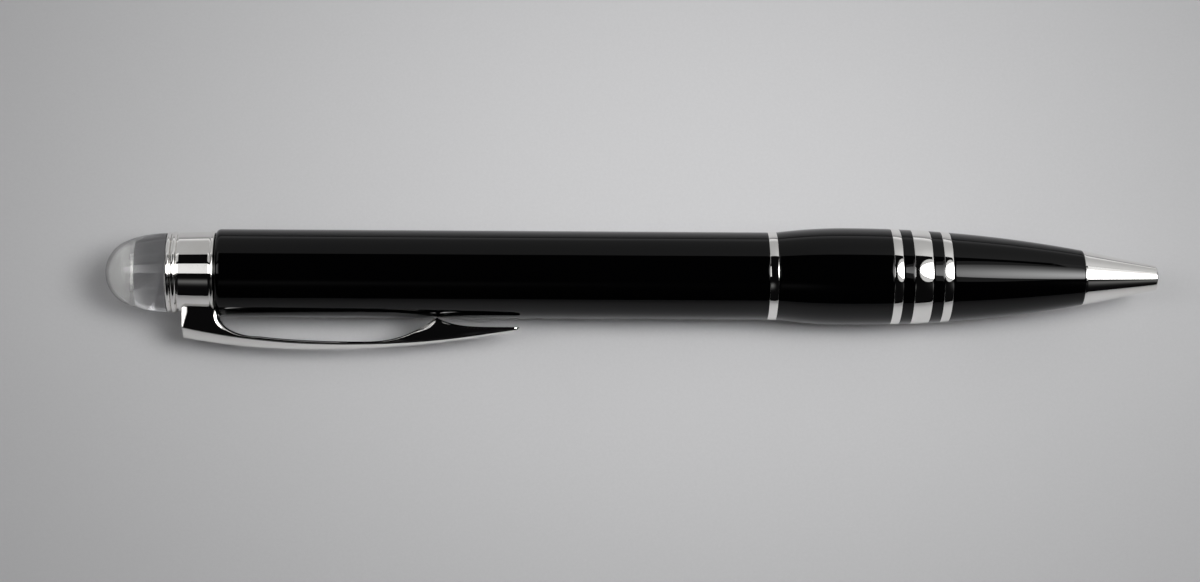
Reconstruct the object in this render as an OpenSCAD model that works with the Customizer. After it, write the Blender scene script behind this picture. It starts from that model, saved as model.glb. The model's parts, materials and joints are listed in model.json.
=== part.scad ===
// Twist ballpoint pen: turning the grip half a turn drives the refill out of the nose cone.
// Every piece is drawn upright with the nose end at z = 0, then laid along X with the clip towards -Y.

/* [Nose cone] */
// Length of the bright nose cone
nose_length = 10.35; // [9:0.05:13]
// Diameter of the cone where it would meet the nose end with a sharp edge
nose_tip_d = 3.2; // [3.0:0.1:4.2]
// Diameter of the cone where it meets the grip
nose_base_d = 7.28; // [7.1:0.02:8.4]
// Rounding of the nose end
nose_edge = 0.3; // [0.1:0.05:0.35]
// Length of the spigot that carries the front of the grip
nose_spigot = 6.5; // [4:0.5:8]
// Wall of the front grip shell where it meets the cone
grip_lip = 0.6; // [0.4:0.05:0.7]

/* [Grip] */
// Length of the front grip shell
grip_front_length = 17.65; // [14:0.05:24]
// Width of each narrow trim ring
trim_ring_width = 1.2; // [0.8:0.01:2]
// Width of each resin spacer between the rings
spacer_width = 1.49; // [1:0.01:2.5]
// Width of the middle trim ring
wide_ring_width = 2.45; // [1.6:0.01:4]
// Slope of the rings' crowned faces at their edges, in degrees
ring_tilt = 5; // [3:1:14]
// Length of the rear grip shell
grip_rear_length = 15.12; // [13:0.02:20]
// Largest diameter of the grip
grip_d = 12.82; // [12.4:0.02:14.5]
// Distance from the joint back to the fattest place of the grip
bulge_back = 9.4; // [7:0.1:12]
// Wall of the metal liner that the grip pieces are stacked on
grip_liner_wall = 0.5; // [0.35:0.05:0.7]
// Depth of the counterbore that turns on the barrel's spigot
bearing_depth = 6; // [4:0.25:7]
// Length of the guide tube inside the rear grip shell, in front of the counterbore
tube_overlap = 5; // [3:0.5:6]

/* [Barrel] */
// Length of the barrel shell
barrel_length = 72.5; // [69:0.1:90]
// Diameter of the barrel
barrel_d = 11.56; // [11.4:0.02:12.6]
// Wall of the resin shell
barrel_wall = 0.8; // [0.6:0.05:0.9]
// Rounding of the rear edge of the barrel
barrel_edge = 0.7; // [0.3:0.05:0.75]
// Width of the joint ring between barrel and grip
joint_ring_width = 1.13; // [0.8:0.01:2]
// Height of the joint ring's crest over the barrel
joint_ring_crest = 0.08; // [0:0.02:0.3]
// Drop of the joint ring's crowned face from its crest to its edges
joint_ring_round = 0.12; // [0.06:0.02:0.4]
// Length of the thick front end of the liner inside the barrel
liner_front = 2; // [1:0.5:6]
// Thickness of the turning seal
seal_d = 0.7; // [0.5:0.05:0.8]

/* [Collar and dome] */
// Width of the band that carries the clip
band_width = 4.9; // [4.5:0.02:7]
// Diameter of the band
band_d = 10.86; // [10.4:0.02:11.2]
// Width of the half-round bead along the barrel side of the band
band_bead = 0.7; // [0.4:0.05:0.9]
// Height of the bead over the band
bead_crest = 0.08; // [0:0.02:0.14]
// Width and depth of the fine groove along the dome side of the band
band_groove = 0.18; // [0.1:0.02:0.3]
// Length of the metal bush that is pressed into the barrel
bush_plug = 6; // [4:0.5:8]
// Diameter over the beads of the dome ring
dome_ring_d = 10.9; // [10.4:0.02:11.4]
// Width of the dome ring's larger bead, next to the band
dome_bead_large = 0.8; // [0.5:0.02:1.1]
// Width of the dome ring's smaller bead, under the dome
dome_bead_small = 0.64; // [0.3:0.02:0.7]
// Height of the clear dome
dome_length = 8.16; // [6.5:0.02:10]
// Diameter of the dome at its base
dome_base_d = 10.44; // [10:0.02:11]
// Diameter of the ball-shaped end of the dome
dome_nose_d = 9; // [7.6:0.02:9.6]
// Height of the disc over the base of the dome
disc_height = 4.05; // [3:0.05:5]
// Diameter of the white disc inside the dome
disc_d = 3.4; // [2:0.1:5]
// Thickness of the white disc
disc_thickness = 0.3; // [0.2:0.05:0.6]
// Diameter of the dome's spigot in the bush
dome_spigot_d = 5; // [4:0.1:6]
// Length of the dome's spigot
dome_spigot = 2; // [1:0.1:3]

/* [Clip] */
// Length of the clip along the barrel
clip_length = 44.2; // [40:0.1:50]
// Length of the clip's foot along the band
clip_foot = 4.15; // [3.6:0.05:4.3]
// Height of the clip's crest over the barrel
clip_rise = 4.28; // [3.8:0.02:5.5]
// Distance from the foot's end to the crest
clip_crest_back = 16.7; // [14:0.1:20]
// Radius of the back of the clip between foot and crest
clip_foot_curve = 95; // [80:1:140]
// Radius of the back of the clip between crest and tip
clip_tip_curve = 145; // [130:1:220]
// Thickness of the arm at its thinnest
arm_thickness = 0.76; // [0.6:0.02:1]
// Thickness of the arm where it leaves the foot
arm_foot_thickness = 1.3; // [1.1:0.05:1.6]
// Length over which the foot's inner side sweeps into the arm
foot_sweep = 5.2; // [4:0.1:6]
// Distance from the clip's tip to the bump that holds the cloth
bump_back = 10.4; // [8:0.1:13]
// Gap between the bump and the barrel
bump_gap = 0.3; // [0.2:0.05:0.6]
// Length of the hollow curve that runs into the bump
bump_ramp = 8.8; // [6:0.1:10]
// How far the underside of the tail lifts away towards the tip
tail_lift = 1.0; // [0.5:0.05:1.15]
// Width of the clip at its foot
clip_foot_width = 4.6; // [4:0.1:5.4]
// Width of the clip at its tip
clip_tip_width = 2.3; // [1.6:0.1:3]
// Height of the clip's crowned back at the foot
clip_crown = 1.1; // [0.3:0.05:1.2]
// Rounding of the clip's inner edges along the tail
tail_edge = 0.12; // [0.04:0.02:0.2]
// Rounding of the clip's inner edges at the bump
bump_edge = 0.5; // [0.1:0.05:0.7]
// Rounding of the clip's inner edges along the arm
arm_edge = 0.25; // [0.05:0.05:0.4]
// Rounding of the clip's inner edges where the foot sweeps into the arm
sweep_edge = 1.2; // [0.3:0.05:1.4]
// Rounding of the corners at the end of the foot, next to the band
heel_edge = 0.9; // [0.2:0.05:1.2]
// Width of the hooked tenon under the foot
tenon_width = 2.4; // [1.8:0.1:3]
// Length of the tenon through the band
tenon_length = 1.6; // [1.2:0.1:1.8]
// Reach of the tenon's hook under the band
tenon_hook = 0.7; // [0.4:0.05:0.8]
// Depth of the tenon below the band's bore
tenon_depth = 1.3; // [1.1:0.05:1.8]

/* [Twist mechanism] */
// Travel of the refill for half a turn of the grip
twist_travel = 5; // [4:0.1:6]
// Diameter of the cross pin that rides in the slots
pin_d = 1.6; // [1.2:0.05:1.8]
// Wall of the guide tube with the straight slots
tube_wall = 0.5; // [0.35:0.05:0.6]
// Wall of the cam sleeve with the helical slots
sleeve_wall = 0.8; // [0.6:0.05:0.9]
// Solid length of the cam sleeve beyond each end of its slots
sleeve_end = 2.4; // [1.5:0.1:4]
// Length of the plunger that pushes the refill
plunger_length = 10; // [8:0.1:12]
// Distance from the plunger's front end to its pin
pin_back = 5.5; // [3:0.1:7]
// Thickness of the thrust washer
washer_thickness = 0.6; // [0.4:0.05:1]
// Thickness of the retaining ring
retainer_thickness = 0.9; // [0.6:0.05:1.2]
// Distance of the retaining ring's rim inside the cam sleeve's outside
retainer_inset = 0.2; // [0.1:0.05:0.3]
// Depth of the retaining ring's groove in the guide tube
retainer_groove = 0.25; // [0.15:0.05:0.3]
// Length of the guide tube behind the retaining ring
tube_end_lip = 0.8; // [0.5:0.1:1.5]

/* [Refill] */
// Diameter of the refill's ink tube
refill_d = 5.8; // [5.4:0.05:5.9]
// Length of the refill's ink tube
refill_tube_length = 74.5; // [70:0.1:76]
// Wall of the refill's ink tube
refill_wall = 0.4; // [0.25:0.05:0.6]
// Diameter of the refill's neck
neck_d = 3.5; // [3.2:0.05:3.6]
// Length of the refill's neck
neck_length = 10.3; // [8.5:0.1:12]
// Radial room round the neck inside the nose cone
neck_room = 0.2; // [0.1:0.05:0.3]
// Diameter of the ink bore through the neck
ink_bore_d = 1.16; // [0.8:0.02:1.4]
// Diameter of the writing point's shank
point_d = 2.3; // [2:0.05:2.4]
// Length of the writing point
point_length = 11.4; // [11:0.1:12.5]
// Length of the writing point's stub in the neck
point_stub = 5; // [3:0.5:7]
// Length of the taper at the end of the writing point
point_taper = 2.6; // [2:0.1:3.2]
// Diameter of the writing ball
ball_d = 1.0; // [0.8:0.05:1.1]
// How far the ball stands out of its socket
ball_show = 0.3; // [0.2:0.02:0.36]
// Wall of the socket round the ball
socket_wall = 0.08; // [0.05:0.01:0.15]
// Distance of the retracted ball behind the nose end
tip_recess = 1.8; // [1.2:0.1:2.4]
// Length of the plug in the rear of the ink tube
end_plug_length = 3; // [2:0.1:5]
// Rim of the plug behind the ink tube
end_plug_rim = 0.5; // [0.3:0.05:0.8]

/* [Return spring] */
// Wire of the return spring
spring_wire = 0.36; // [0.25:0.01:0.4]
// Turns of the return spring
spring_turns = 6; // [4:1:7]
// Distance from the nose end to the spring's seat
spring_seat = 4.6; // [4.2:0.1:5]

/* [Fits] */
// Radial clearance between pieces that turn or slide on each other
run_fit = 0.1; // [0.05:0.01:0.15]
// Radial clearance between pieces that are pressed or glued together
press_fit = 0.02; // [0.01:0.01:0.04]
// Gap between faces that pass each other
face_gap = 0.15; // [0.1:0.05:0.3]

/* [Placement] */
// How far the clip is rolled down from level, in degrees
clip_roll = 14; // [0:1:20]

/* [Hidden] */
$fn = 96;
arc_fn = 720;

// How far a cutting shape runs past what it cuts
cut = 1;

// Colours of the pieces
resin = [0.03, 0.03, 0.035];
chrome = [0.78, 0.78, 0.78];
brass = [0.78, 0.62, 0.3];
steel = [0.6, 0.62, 0.65];
clear = [0.85, 0.88, 0.9, 0.5];
white = [0.95, 0.95, 0.94];
rubber = [0.12, 0.12, 0.12];
ink_tube = [0.35, 0.37, 0.45];

// Heights of the joints between the outer pieces, from the nose end
z_grip = nose_length;
z_ring_front = z_grip + grip_front_length;
z_spacer_front = z_ring_front + trim_ring_width;
z_ring_wide = z_spacer_front + spacer_width;
z_spacer_rear = z_ring_wide + wide_ring_width;
z_ring_rear = z_spacer_rear + spacer_width;
z_grip_rear = z_ring_rear + trim_ring_width;
z_joint = z_grip_rear + grip_rear_length;
z_barrel = z_joint + joint_ring_width;
z_band = z_barrel + barrel_length;
z_dome_ring = z_band + band_width;
z_dome = z_dome_ring + dome_bead_large + dome_bead_small;
pen_length = z_dome + dome_length;

// Outer radii and the two arcs of the grip
barrel_r = barrel_d / 2;
grip_r = grip_d / 2;
nose_base_r = nose_base_d / 2;
band_r = band_d / 2;
z_bulge = z_joint - bulge_back;
grip_front_arc = arc_radius(z_bulge - z_grip, grip_r - nose_base_r);
grip_rear_arc = arc_radius(bulge_back, grip_r - barrel_r);

// Nested radii, from the refill outwards
refill_r = refill_d / 2;
tube_bore_r = refill_r + run_fit;
tube_r = tube_bore_r + tube_wall;
sleeve_bore_r = tube_r + run_fit;
sleeve_r = sleeve_bore_r + sleeve_wall;
liner_bore_r = sleeve_r + press_fit;
liner_r = barrel_r - barrel_wall - press_fit;
grip_liner_r = tube_bore_r + grip_liner_wall;
grip_bore_r = max(grip_liner_r, tube_r) + press_fit;
bearing_r = liner_r + run_fit;
nose_spigot_r = nose_base_r - grip_lip;
bush_r = liner_bore_r - press_fit;
band_bore_r = bush_r + press_fit;

// Heights of the refill and of the pieces that drive it, with the point drawn in
z_neck = tip_recess + point_length;
z_tube = z_neck + neck_length;
z_plug = z_tube + refill_tube_length;
z_plunger = z_plug + end_plug_rim;
z_pin = z_plunger + pin_back;
pin_r = pin_d / 2;
pin_reach = sleeve_r - face_gap;
slot_lead = twist_travel / 180;
slot_slope = atan(twist_travel / (PI * sleeve_bore_r));
slot_half = pin_r / cos(slot_slope) + run_fit;
slot_half_angle = slot_half / slot_lead;
slot_end_margin = 2;
slot_end_angle = asin(pin_r / sleeve_bore_r) + slot_end_margin;
slot_slices = 36;
slot_sides = 3;
z_sleeve = z_pin - twist_travel - slot_half - sleeve_end;
z_washer = z_pin + slot_half + sleeve_end;
z_retainer = z_washer + washer_thickness + face_gap;
z_tube_end = z_retainer + retainer_thickness + tube_end_lip;
z_bearing = z_joint - bearing_depth;
z_liner_split = z_bearing - tube_overlap;
z_seal = z_joint - bearing_depth / 2;
z_liner_step = z_barrel + liner_front;

// Bores of the nose cone
nose_bore_r = point_d / 2 + run_fit;
nose_cavity_r = neck_d / 2 + neck_room;

// Return spring, seated between the nose cone and the refill's neck
spring_r = (point_d / 2 + nose_cavity_r) / 2;
spring_rings = 8;
spring_sides = 6;
spring_path = [for (i = [0 : spring_turns * spring_rings]) spring_point(i / spring_rings)];

// Clip, measured along the pen from the nose end
clip_end_z = z_band + face_gap + clip_foot;
foot_front_z = z_band + face_gap;
clip_tip_z = clip_end_z - clip_length;
crest_z = clip_end_z - clip_crest_back;
crest_r = barrel_r + clip_rise;
bump_z = clip_tip_z + bump_back;
bump_r = barrel_r + bump_gap;
ramp_z = bump_z + bump_ramp;
sweep_front_z = foot_front_z - barrel_edge - face_gap;
sweep_z = sweep_front_z - foot_sweep;
sweep_base_r = barrel_r + face_gap;
saddle_r = band_r + bead_crest + face_gap / 2;
flat_back_z = bump_z - bump_back / 2;
tip_round = 0.7;
tip_narrowing = 0.7;
tail_power = 5;
foot_step = 0.02;
slope_step = 0.01;
crown_steps = 6;
inner_steps = 4;
side_shares = [0.06, 0.16, 0.32, 0.6];
tail_steps = 7;
ramp_steps = 10;
arm_steps = 8;
sweep_steps = 9;
foot_steps = 6;

// Hooked tenon of the clip, in its window in the band and its pocket in the bush
tenon_z = foot_front_z + (clip_foot - tenon_length) / 2;
tenon_floor_r = band_bore_r - tenon_depth;
tenon_root_r = saddle_r + arm_thickness;
tenon_play = 0.25;
hook_lift = 0.34;
hook_top_r = sqrt(pow(band_bore_r, 2) - pow(tenon_width / 2, 2)) - hook_lift;

// Height of the pen's axis over the table, and its place across
axis_z = grip_r;
axis_y = (crest_r * cos(clip_roll) - grip_r) / 2;

// Radius of the arc that drops by h over the length l from its crest
function arc_radius(l, h) = (l * l + h * h) / (2 * h);

// Drop of an arc of radius r at the distance x from its crest
function arc_drop(r, x) = r - sqrt(r * r - x * x);

// Part of the way from a to b at the position v, held within 0 and 1
function part_way(a, b, v) = min(1, max(0, (v - a) / (b - a)));

// Centre of the spring's wire after so many turns
function spring_point(turn) = let (
    low = spring_seat + spring_wire,
    high = z_neck - spring_wire)
    [spring_r * cos(360 * turn), spring_r * sin(360 * turn), low + (high - low) * turn / spring_turns];

// One ring of the spring's wire, square to the helix
function spring_ring(turn) = let (
    centre = spring_point(turn),
    out = [cos(360 * turn), sin(360 * turn), 0],
    pitch = (z_neck - spring_seat - 2 * spring_wire) / spring_turns,
    climb = atan(pitch / (2 * PI * spring_r)),
    up = [sin(360 * turn) * sin(climb), -cos(360 * turn) * sin(climb), cos(climb)])
    [for (i = [0 : spring_sides - 1]) let (a = 360 * i / spring_sides)
        centre + spring_wire / 2 * (cos(a) * out + sin(a) * up)];

// Least gap between turns of the spring
spring_gap = min([for (i = [0 : len(spring_path) - 1])
    for (j = [i + spring_rings / 2 : len(spring_path) - 1])
        norm(spring_path[i] - spring_path[j])]) - spring_wire;
echo(spring_least_gap = spring_gap);

// Crest line of the clip's back
function clip_back_r(z) = crest_r - arc_drop(z > crest_z ? clip_foot_curve : clip_tip_curve, z - crest_z);

// Height of the crown over the clip's edges
function clip_crown_h(z) = clip_crown * part_way(flat_back_z, clip_end_z, z);

// Half of the clip's width: a taper with a rounded tip
function clip_half_width(z) = let (
    taper = clip_tip_width + (clip_foot_width - clip_tip_width) * part_way(clip_tip_z, clip_end_z, z),
    at_tip = 1 - part_way(clip_tip_z, clip_tip_z + tip_round, z))
    taper / 2 * sqrt(1 - tip_narrowing * pow(at_tip, 2));

// Underside of the free arm: a thin hollow arm that runs down into the bump
function arm_inner_r(z) = let (
    thickness = arm_thickness
        + (arm_foot_thickness - arm_thickness) * part_way(ramp_z, sweep_z, z),
    depth = clip_back_r(bump_z) - arm_thickness - bump_r)
    clip_back_r(z) - thickness - depth * pow(part_way(ramp_z, bump_z, z), 3);

// Underside of the tail between the bump and the tip
function tail_inner_r(z) = bump_r + tail_lift * (1 - pow(part_way(clip_tip_z, bump_z, z), tail_power));

// Underside of the clip in front of its foot
function clip_inner_r(z) =
    z >= sweep_front_z ? sweep_base_r
    : z > sweep_z ? sweep_base_r
        + (arm_inner_r(sweep_z) - sweep_base_r) * sqrt(1 - pow((z - sweep_z) / foot_sweep, 2))
    : z >= bump_z ? arm_inner_r(z)
    : tail_inner_r(z);

// Radius of the clip's inner face at the distance s from its middle: a saddle where it sits on the band
function clip_face_r(z, s, seated) = seated ? sqrt(saddle_r * saddle_r - s * s) : clip_inner_r(z);

// Distance of a point of the clip's side face from the edge of its underside
function edge_distance(z, r) = let (
    sweep_h = arm_inner_r(sweep_z) - sweep_base_r,
    u = z - sweep_z,
    v = r - sweep_base_r,
    q = norm([u / foot_sweep, v / sweep_h]),
    slope = (clip_inner_r(z + slope_step) - clip_inner_r(z - slope_step)) / (2 * slope_step))
    z > sweep_z ? (q - 1) * q / norm([u / pow(foot_sweep, 2), v / pow(sweep_h, 2)])
    : (r - clip_inner_r(z)) * cos(atan(slope));

// Rounding of the clip's inner edge next to a point of its side face
function edge_radius(z, r) =
    z > sweep_z ? arm_edge + (sweep_edge - arm_edge) * part_way(arm_inner_r(sweep_z), sweep_base_r, r)
    : z > bump_z ? arm_edge + (bump_edge - arm_edge) * part_way(ramp_z, bump_z, z)
    : tail_edge + (bump_edge - tail_edge) * part_way(clip_tip_z, bump_z, z);

// How far a rounding of the radius f takes a face back at the distance t from its edge
function round_drop(f, t) = t < f ? f - sqrt(f * f - pow(f - max(t, 0), 2)) : 0;

// Half width of the clip at a point of its side face, with the roundings of the inner edge and the heel
function side_s(z, r) = let (
    heel = heel_edge * part_way(clip_back_r(clip_end_z), saddle_r, r))
    clip_half_width(z) - max(round_drop(edge_radius(z, r), edge_distance(z, r)),
        round_drop(heel, clip_end_z - z));

// Closed section of the clip at the height z
function clip_section(z, seated = false) = let (
    crown = clip_crown_h(z),
    edge_r = clip_back_r(z) - crown,
    flat = side_s(z, clip_face_r(z, clip_half_width(z), seated)),
    low = clip_face_r(z, flat, seated),
    half = side_s(z, edge_r),
    inner = [for (i = [0 : inner_steps]) let (s = flat * (1 - 2 * i / inner_steps))
        [clip_face_r(z, s, seated), s, z]],
    side = [for (share = side_shares) let (r = low + (edge_r - low) * share) [r, side_s(z, r), z]],
    back = [for (i = [0 : crown_steps]) let (s = half * (2 * i / crown_steps - 1))
        [edge_r + crown * (1 - pow(s / half, 2)), s, z]])
    concat(inner, [for (p = side) [p[0], -p[1], z]], back, [for (i = [len(side) - 1 : -1 : 0]) side[i]]);

// Heights of the clip's sections, closer together where its outline bends
clip_tail_heights = [for (i = [0 : tail_steps - 1]) clip_tip_z + bump_back * pow(i / tail_steps, 2)];
clip_ramp_heights = [for (i = [0 : ramp_steps]) bump_z + bump_ramp * i / ramp_steps];
clip_arm_heights = [for (i = [1 : arm_steps - 1]) ramp_z + (sweep_z - ramp_z) * i / arm_steps];
clip_sweep_heights = [for (i = [0 : sweep_steps]) sweep_z + foot_sweep * sin(90 * i / sweep_steps)];
clip_foot_heights = [for (i = [0 : foot_steps]) foot_front_z + clip_foot * sin(90 * i / foot_steps)];
clip_sections = concat(
    [for (z = clip_tail_heights) clip_section(z)],
    [for (z = clip_ramp_heights) clip_section(z)],
    [for (z = clip_arm_heights) clip_section(z)],
    [for (z = clip_sweep_heights) clip_section(z)],
    [for (z = [(sweep_front_z + foot_front_z) / 2, foot_front_z - foot_step]) clip_section(z)],
    [for (z = clip_foot_heights) clip_section(z, true)]);

// Lays an upright piece along X, nose towards +X and clip towards -Y
module lay() {
    translate([pen_length / 2, axis_y, axis_z])
        rotate([90 + clip_roll, 0, 0])
            rotate([0, -90, 0])
                children();
}

// Middle of a ring of points
function middle(ring) = [for (k = [0 : 2]) let (v = [for (p = ring) p[k]]) (min(v) + max(v)) / 2];

// Closed skin over a row of rings that all have the same number of points
module loft(rings) {
    n = len(rings[0]);
    last = len(rings) - 1;
    ends = [middle(rings[0]), middle(rings[last])];
    first_end = (last + 1) * n;
    points = concat([for (ring = rings) for (p = ring) p], ends);
    sides = [for (i = [0 : last - 1]) for (j = [0 : n - 1]) let (
        a = i * n + j,
        b = i * n + (j + 1) % n)
        each [[a, a + n, b], [b, a + n, b + n]]];
    start = [for (j = [0 : n - 1]) [first_end, j, (j + 1) % n]];
    end = [for (j = [0 : n - 1]) [first_end + 1, last * n + (j + 1) % n, last * n + j]];
    polyhedron(points, concat(sides, start, end), convexity = 6);
}

// Round tube between two heights
module tube(z0, z1, r_out, r_in) {
    translate([0, 0, z0])
        difference() {
            cylinder(r = r_out, h = z1 - z0);
            translate([0, 0, -cut])
                cylinder(r = r_in, h = z1 - z0 + 2 * cut);
        }
}

// Radius of the grip's outline at the height z
function grip_outline_r(z) = grip_r - arc_drop(z < z_bulge ? grip_front_arc : grip_rear_arc, z - z_bulge);

// Half outline of the whole grip: two arcs that meet at its fattest place
module grip_outline() {
    intersection() {
        translate([grip_r - grip_front_arc, z_bulge])
            circle(r = grip_front_arc, $fn = arc_fn);
        translate([0, z_grip])
            square([grip_r + cut, z_bulge - z_grip]);
    }
    intersection() {
        translate([grip_r - grip_rear_arc, z_bulge])
            circle(r = grip_rear_arc, $fn = arc_fn);
        translate([0, z_bulge])
            square([grip_r + cut, z_joint - z_bulge]);
    }
}

// Resin slice of the grip between two heights, with the bore of the liner
module grip_slice(z0, z1) {
    rotate_extrude()
        intersection() {
            grip_outline();
            translate([grip_bore_r, z0])
                square([grip_r, z1 - z0]);
        }
}

// Ring of the grip between two heights, its face crowned over the outline
module crowned_ring(z0, z1) {
    low = [grip_outline_r(z0), z0];
    high = [grip_outline_r(z1), z1];
    chord = norm(high - low);
    face_radius = chord / 2 / sin(ring_tilt);
    out = [high[1] - low[1], low[0] - high[0]] / chord;
    rotate_extrude()
        intersection() {
            translate((low + high) / 2 - face_radius * cos(ring_tilt) * out)
                circle(r = face_radius, $fn = arc_fn);
            translate([grip_bore_r, z0])
                square([grip_d, z1 - z0]);
        }
}

// Bright cone with a rounded mouth, a seat for the spring and a spigot for the grip
module nose_cone() {
    slope = atan((nose_base_r - nose_tip_d / 2) / nose_length);
    mouth_r = nose_tip_d / 2 + nose_edge * tan(slope) - nose_edge / cos(slope);
    color(chrome)
        lay()
            rotate_extrude()
                difference() {
                    union() {
                        translate([mouth_r, nose_edge])
                            circle(r = nose_edge, $fn = 48);
                        polygon([
                            [0, 0],
                            [mouth_r, 0],
                            [mouth_r + nose_edge * cos(slope), nose_edge * (1 - sin(slope))],
                            [nose_base_r, nose_length],
                            [nose_spigot_r, nose_length],
                            [nose_spigot_r, nose_length + nose_spigot],
                            [0, nose_length + nose_spigot]]);
                    }
                    translate([0, -cut])
                        square([nose_bore_r, spring_seat + cut]);
                    translate([0, spring_seat])
                        square([nose_cavity_r, pen_length]);
                }
}

// Long front shell, stepped inside to sit on the nose cone's spigot and on the liner
module grip_front_shell() {
    color(resin)
        lay()
            rotate_extrude()
                intersection() {
                    grip_outline();
                    union() {
                        translate([nose_spigot_r + press_fit, z_grip])
                            square([grip_r, nose_spigot]);
                        translate([grip_bore_r, z_grip + nose_spigot])
                            square([grip_r, z_ring_front - z_grip - nose_spigot]);
                    }
                }
}

// Narrow bright ring next to the front shell
module ring_front() {
    color(chrome)
        lay()
            crowned_ring(z_ring_front, z_spacer_front);
}

// Resin spacer in front of the wide ring
module spacer_front() {
    color(resin)
        lay()
            grip_slice(z_spacer_front, z_ring_wide);
}

// Wide bright ring in the middle of the trim
module ring_wide() {
    color(chrome)
        lay()
            crowned_ring(z_ring_wide, z_spacer_rear);
}

// Resin spacer behind the wide ring
module spacer_rear() {
    color(resin)
        lay()
            grip_slice(z_spacer_rear, z_ring_rear);
}

// Narrow bright ring next to the rear shell
module ring_rear() {
    color(chrome)
        lay()
            crowned_ring(z_ring_rear, z_grip_rear);
}

// Fattest part of the grip, counterbored to turn on the barrel's spigot
module grip_rear_shell() {
    color(resin)
        lay()
            rotate_extrude()
                intersection() {
                    grip_outline();
                    union() {
                        translate([grip_bore_r, z_grip_rear])
                            square([grip_r, z_bearing - z_grip_rear]);
                        translate([bearing_r, z_bearing])
                            square([grip_r, bearing_depth - face_gap]);
                    }
                }
}

// Metal tube that the front pieces of the grip are stacked on
module grip_liner() {
    color(brass)
        lay()
            tube(z_grip + nose_spigot, z_liner_split, grip_liner_r, tube_bore_r);
}

// Tube that turns with the grip and carries the pin in two straight slots
module guide_tube() {
    slot_low = z_pin - twist_travel - pin_r - run_fit;
    slot_high = z_pin + pin_r + run_fit;
    slot_width = pin_d + 2 * run_fit;
    color(steel)
        lay()
            difference() {
                tube(z_liner_split, z_tube_end, tube_r, tube_bore_r);
                translate([-slot_width / 2, -tube_r - cut, slot_low])
                    cube([slot_width, 2 * (tube_r + cut), slot_high - slot_low]);
                tube(z_retainer, z_retainer + retainer_thickness, tube_r + cut, tube_r - retainer_groove);
            }
}

// Ring in a groove of the guide tube that keeps the grip from pulling out
module retaining_ring() {
    color(steel)
        lay()
            tube(z_retainer, z_retainer + retainer_thickness, sleeve_r - retainer_inset,
                tube_r - retainer_groove);
}

// Open coil between the nose cone's seat and the refill's neck
module return_spring() {
    color(steel)
        lay()
            loft([for (i = [0 : spring_turns * spring_rings]) spring_ring(i / spring_rings)]);
}

// Crowned bright ring that closes the front of the barrel
module joint_ring() {
    crest_radius = arc_radius(joint_ring_width / 2, joint_ring_round);
    color(chrome)
        lay()
            rotate_extrude()
                intersection() {
                    translate([barrel_r + joint_ring_crest - crest_radius, z_joint + joint_ring_width / 2])
                        circle(r = crest_radius, $fn = arc_fn);
                    translate([liner_r + press_fit, z_joint])
                        square([barrel_r, joint_ring_width]);
                }
}

// Long resin tube with a rounded rear edge
module barrel_shell() {
    bore_r = liner_r + press_fit;
    color(resin)
        lay()
            rotate_extrude() {
                translate([bore_r, z_barrel])
                    square([barrel_r - bore_r, barrel_length - barrel_edge]);
                intersection() {
                    translate([barrel_r - barrel_edge, z_band - barrel_edge])
                        circle(r = barrel_edge, $fn = 96);
                    translate([bore_r, z_band - barrel_edge])
                        square([barrel_r - bore_r, barrel_edge]);
                }
                translate([bore_r, z_band - barrel_edge])
                    square([barrel_r - barrel_edge - bore_r, barrel_edge]);
            }
}

// Metal tube inside the barrel; its front end is the spigot that the grip turns on
module barrel_liner() {
    spigot_z = z_bearing + face_gap;
    color(brass)
        lay()
            rotate_extrude()
                difference() {
                    union() {
                        translate([sleeve_bore_r, spigot_z])
                            square([liner_r - sleeve_bore_r, z_liner_step - spigot_z]);
                        translate([liner_bore_r, z_liner_step])
                            square([liner_r - liner_bore_r, z_band - z_liner_step]);
                    }
                    translate([liner_r - seal_d + run_fit / 2, z_seal - seal_d / 2])
                        square([seal_d, seal_d]);
                }
}

// Rubber ring in a groove of the spigot that gives the twist its drag
module turning_seal() {
    color(rubber)
        lay()
            rotate_extrude()
                translate([liner_r - seal_d / 2 + run_fit / 2, z_seal])
                    circle(r = seal_d / 2, $fn = 48);
}

// Helical slot for half a turn of the pin, starting at the drawn-in place
module cam_slot() {
    z_low = z_pin - twist_travel - slot_half;
    height = twist_travel + 2 * slot_half;
    turn = height / slot_lead;
    intersection() {
        translate([0, 0, z_low])
            rotate([0, 0, -180 - 2 * slot_half_angle])
                linear_extrude(height = height, twist = -turn, slices = slot_slices,
                        segments = 2 * slot_sides + 2)
                    polygon(concat(
                        [for (i = [0 : slot_sides]) let (a = 2 * slot_half_angle * i / slot_sides)
                            (sleeve_r + 2 * cut) * [cos(a), sin(a)]],
                        [for (i = [slot_sides : -1 : 0]) let (a = 2 * slot_half_angle * i / slot_sides)
                            (sleeve_bore_r - cut) * [cos(a), sin(a)]]));
        rotate([0, 0, -180 - slot_end_angle])
            rotate_extrude(angle = 180 + 2 * slot_end_angle)
                translate([sleeve_bore_r - cut / 2, z_low - cut])
                    square([sleeve_wall + cut, height + 2 * cut]);
    }
}

// Fixed sleeve whose two helical slots turn the twist into travel
module cam_sleeve() {
    color(brass)
        lay()
            difference() {
                tube(z_sleeve, z_washer, sleeve_r, sleeve_bore_r);
                for (side = [0, 180])
                    rotate([0, 0, 90 + side])
                        cam_slot();
            }
}

// Washer between the cam sleeve and the retaining ring
module thrust_washer() {
    color(steel)
        lay()
            tube(z_washer, z_washer + washer_thickness, sleeve_r, sleeve_bore_r);
}

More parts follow.
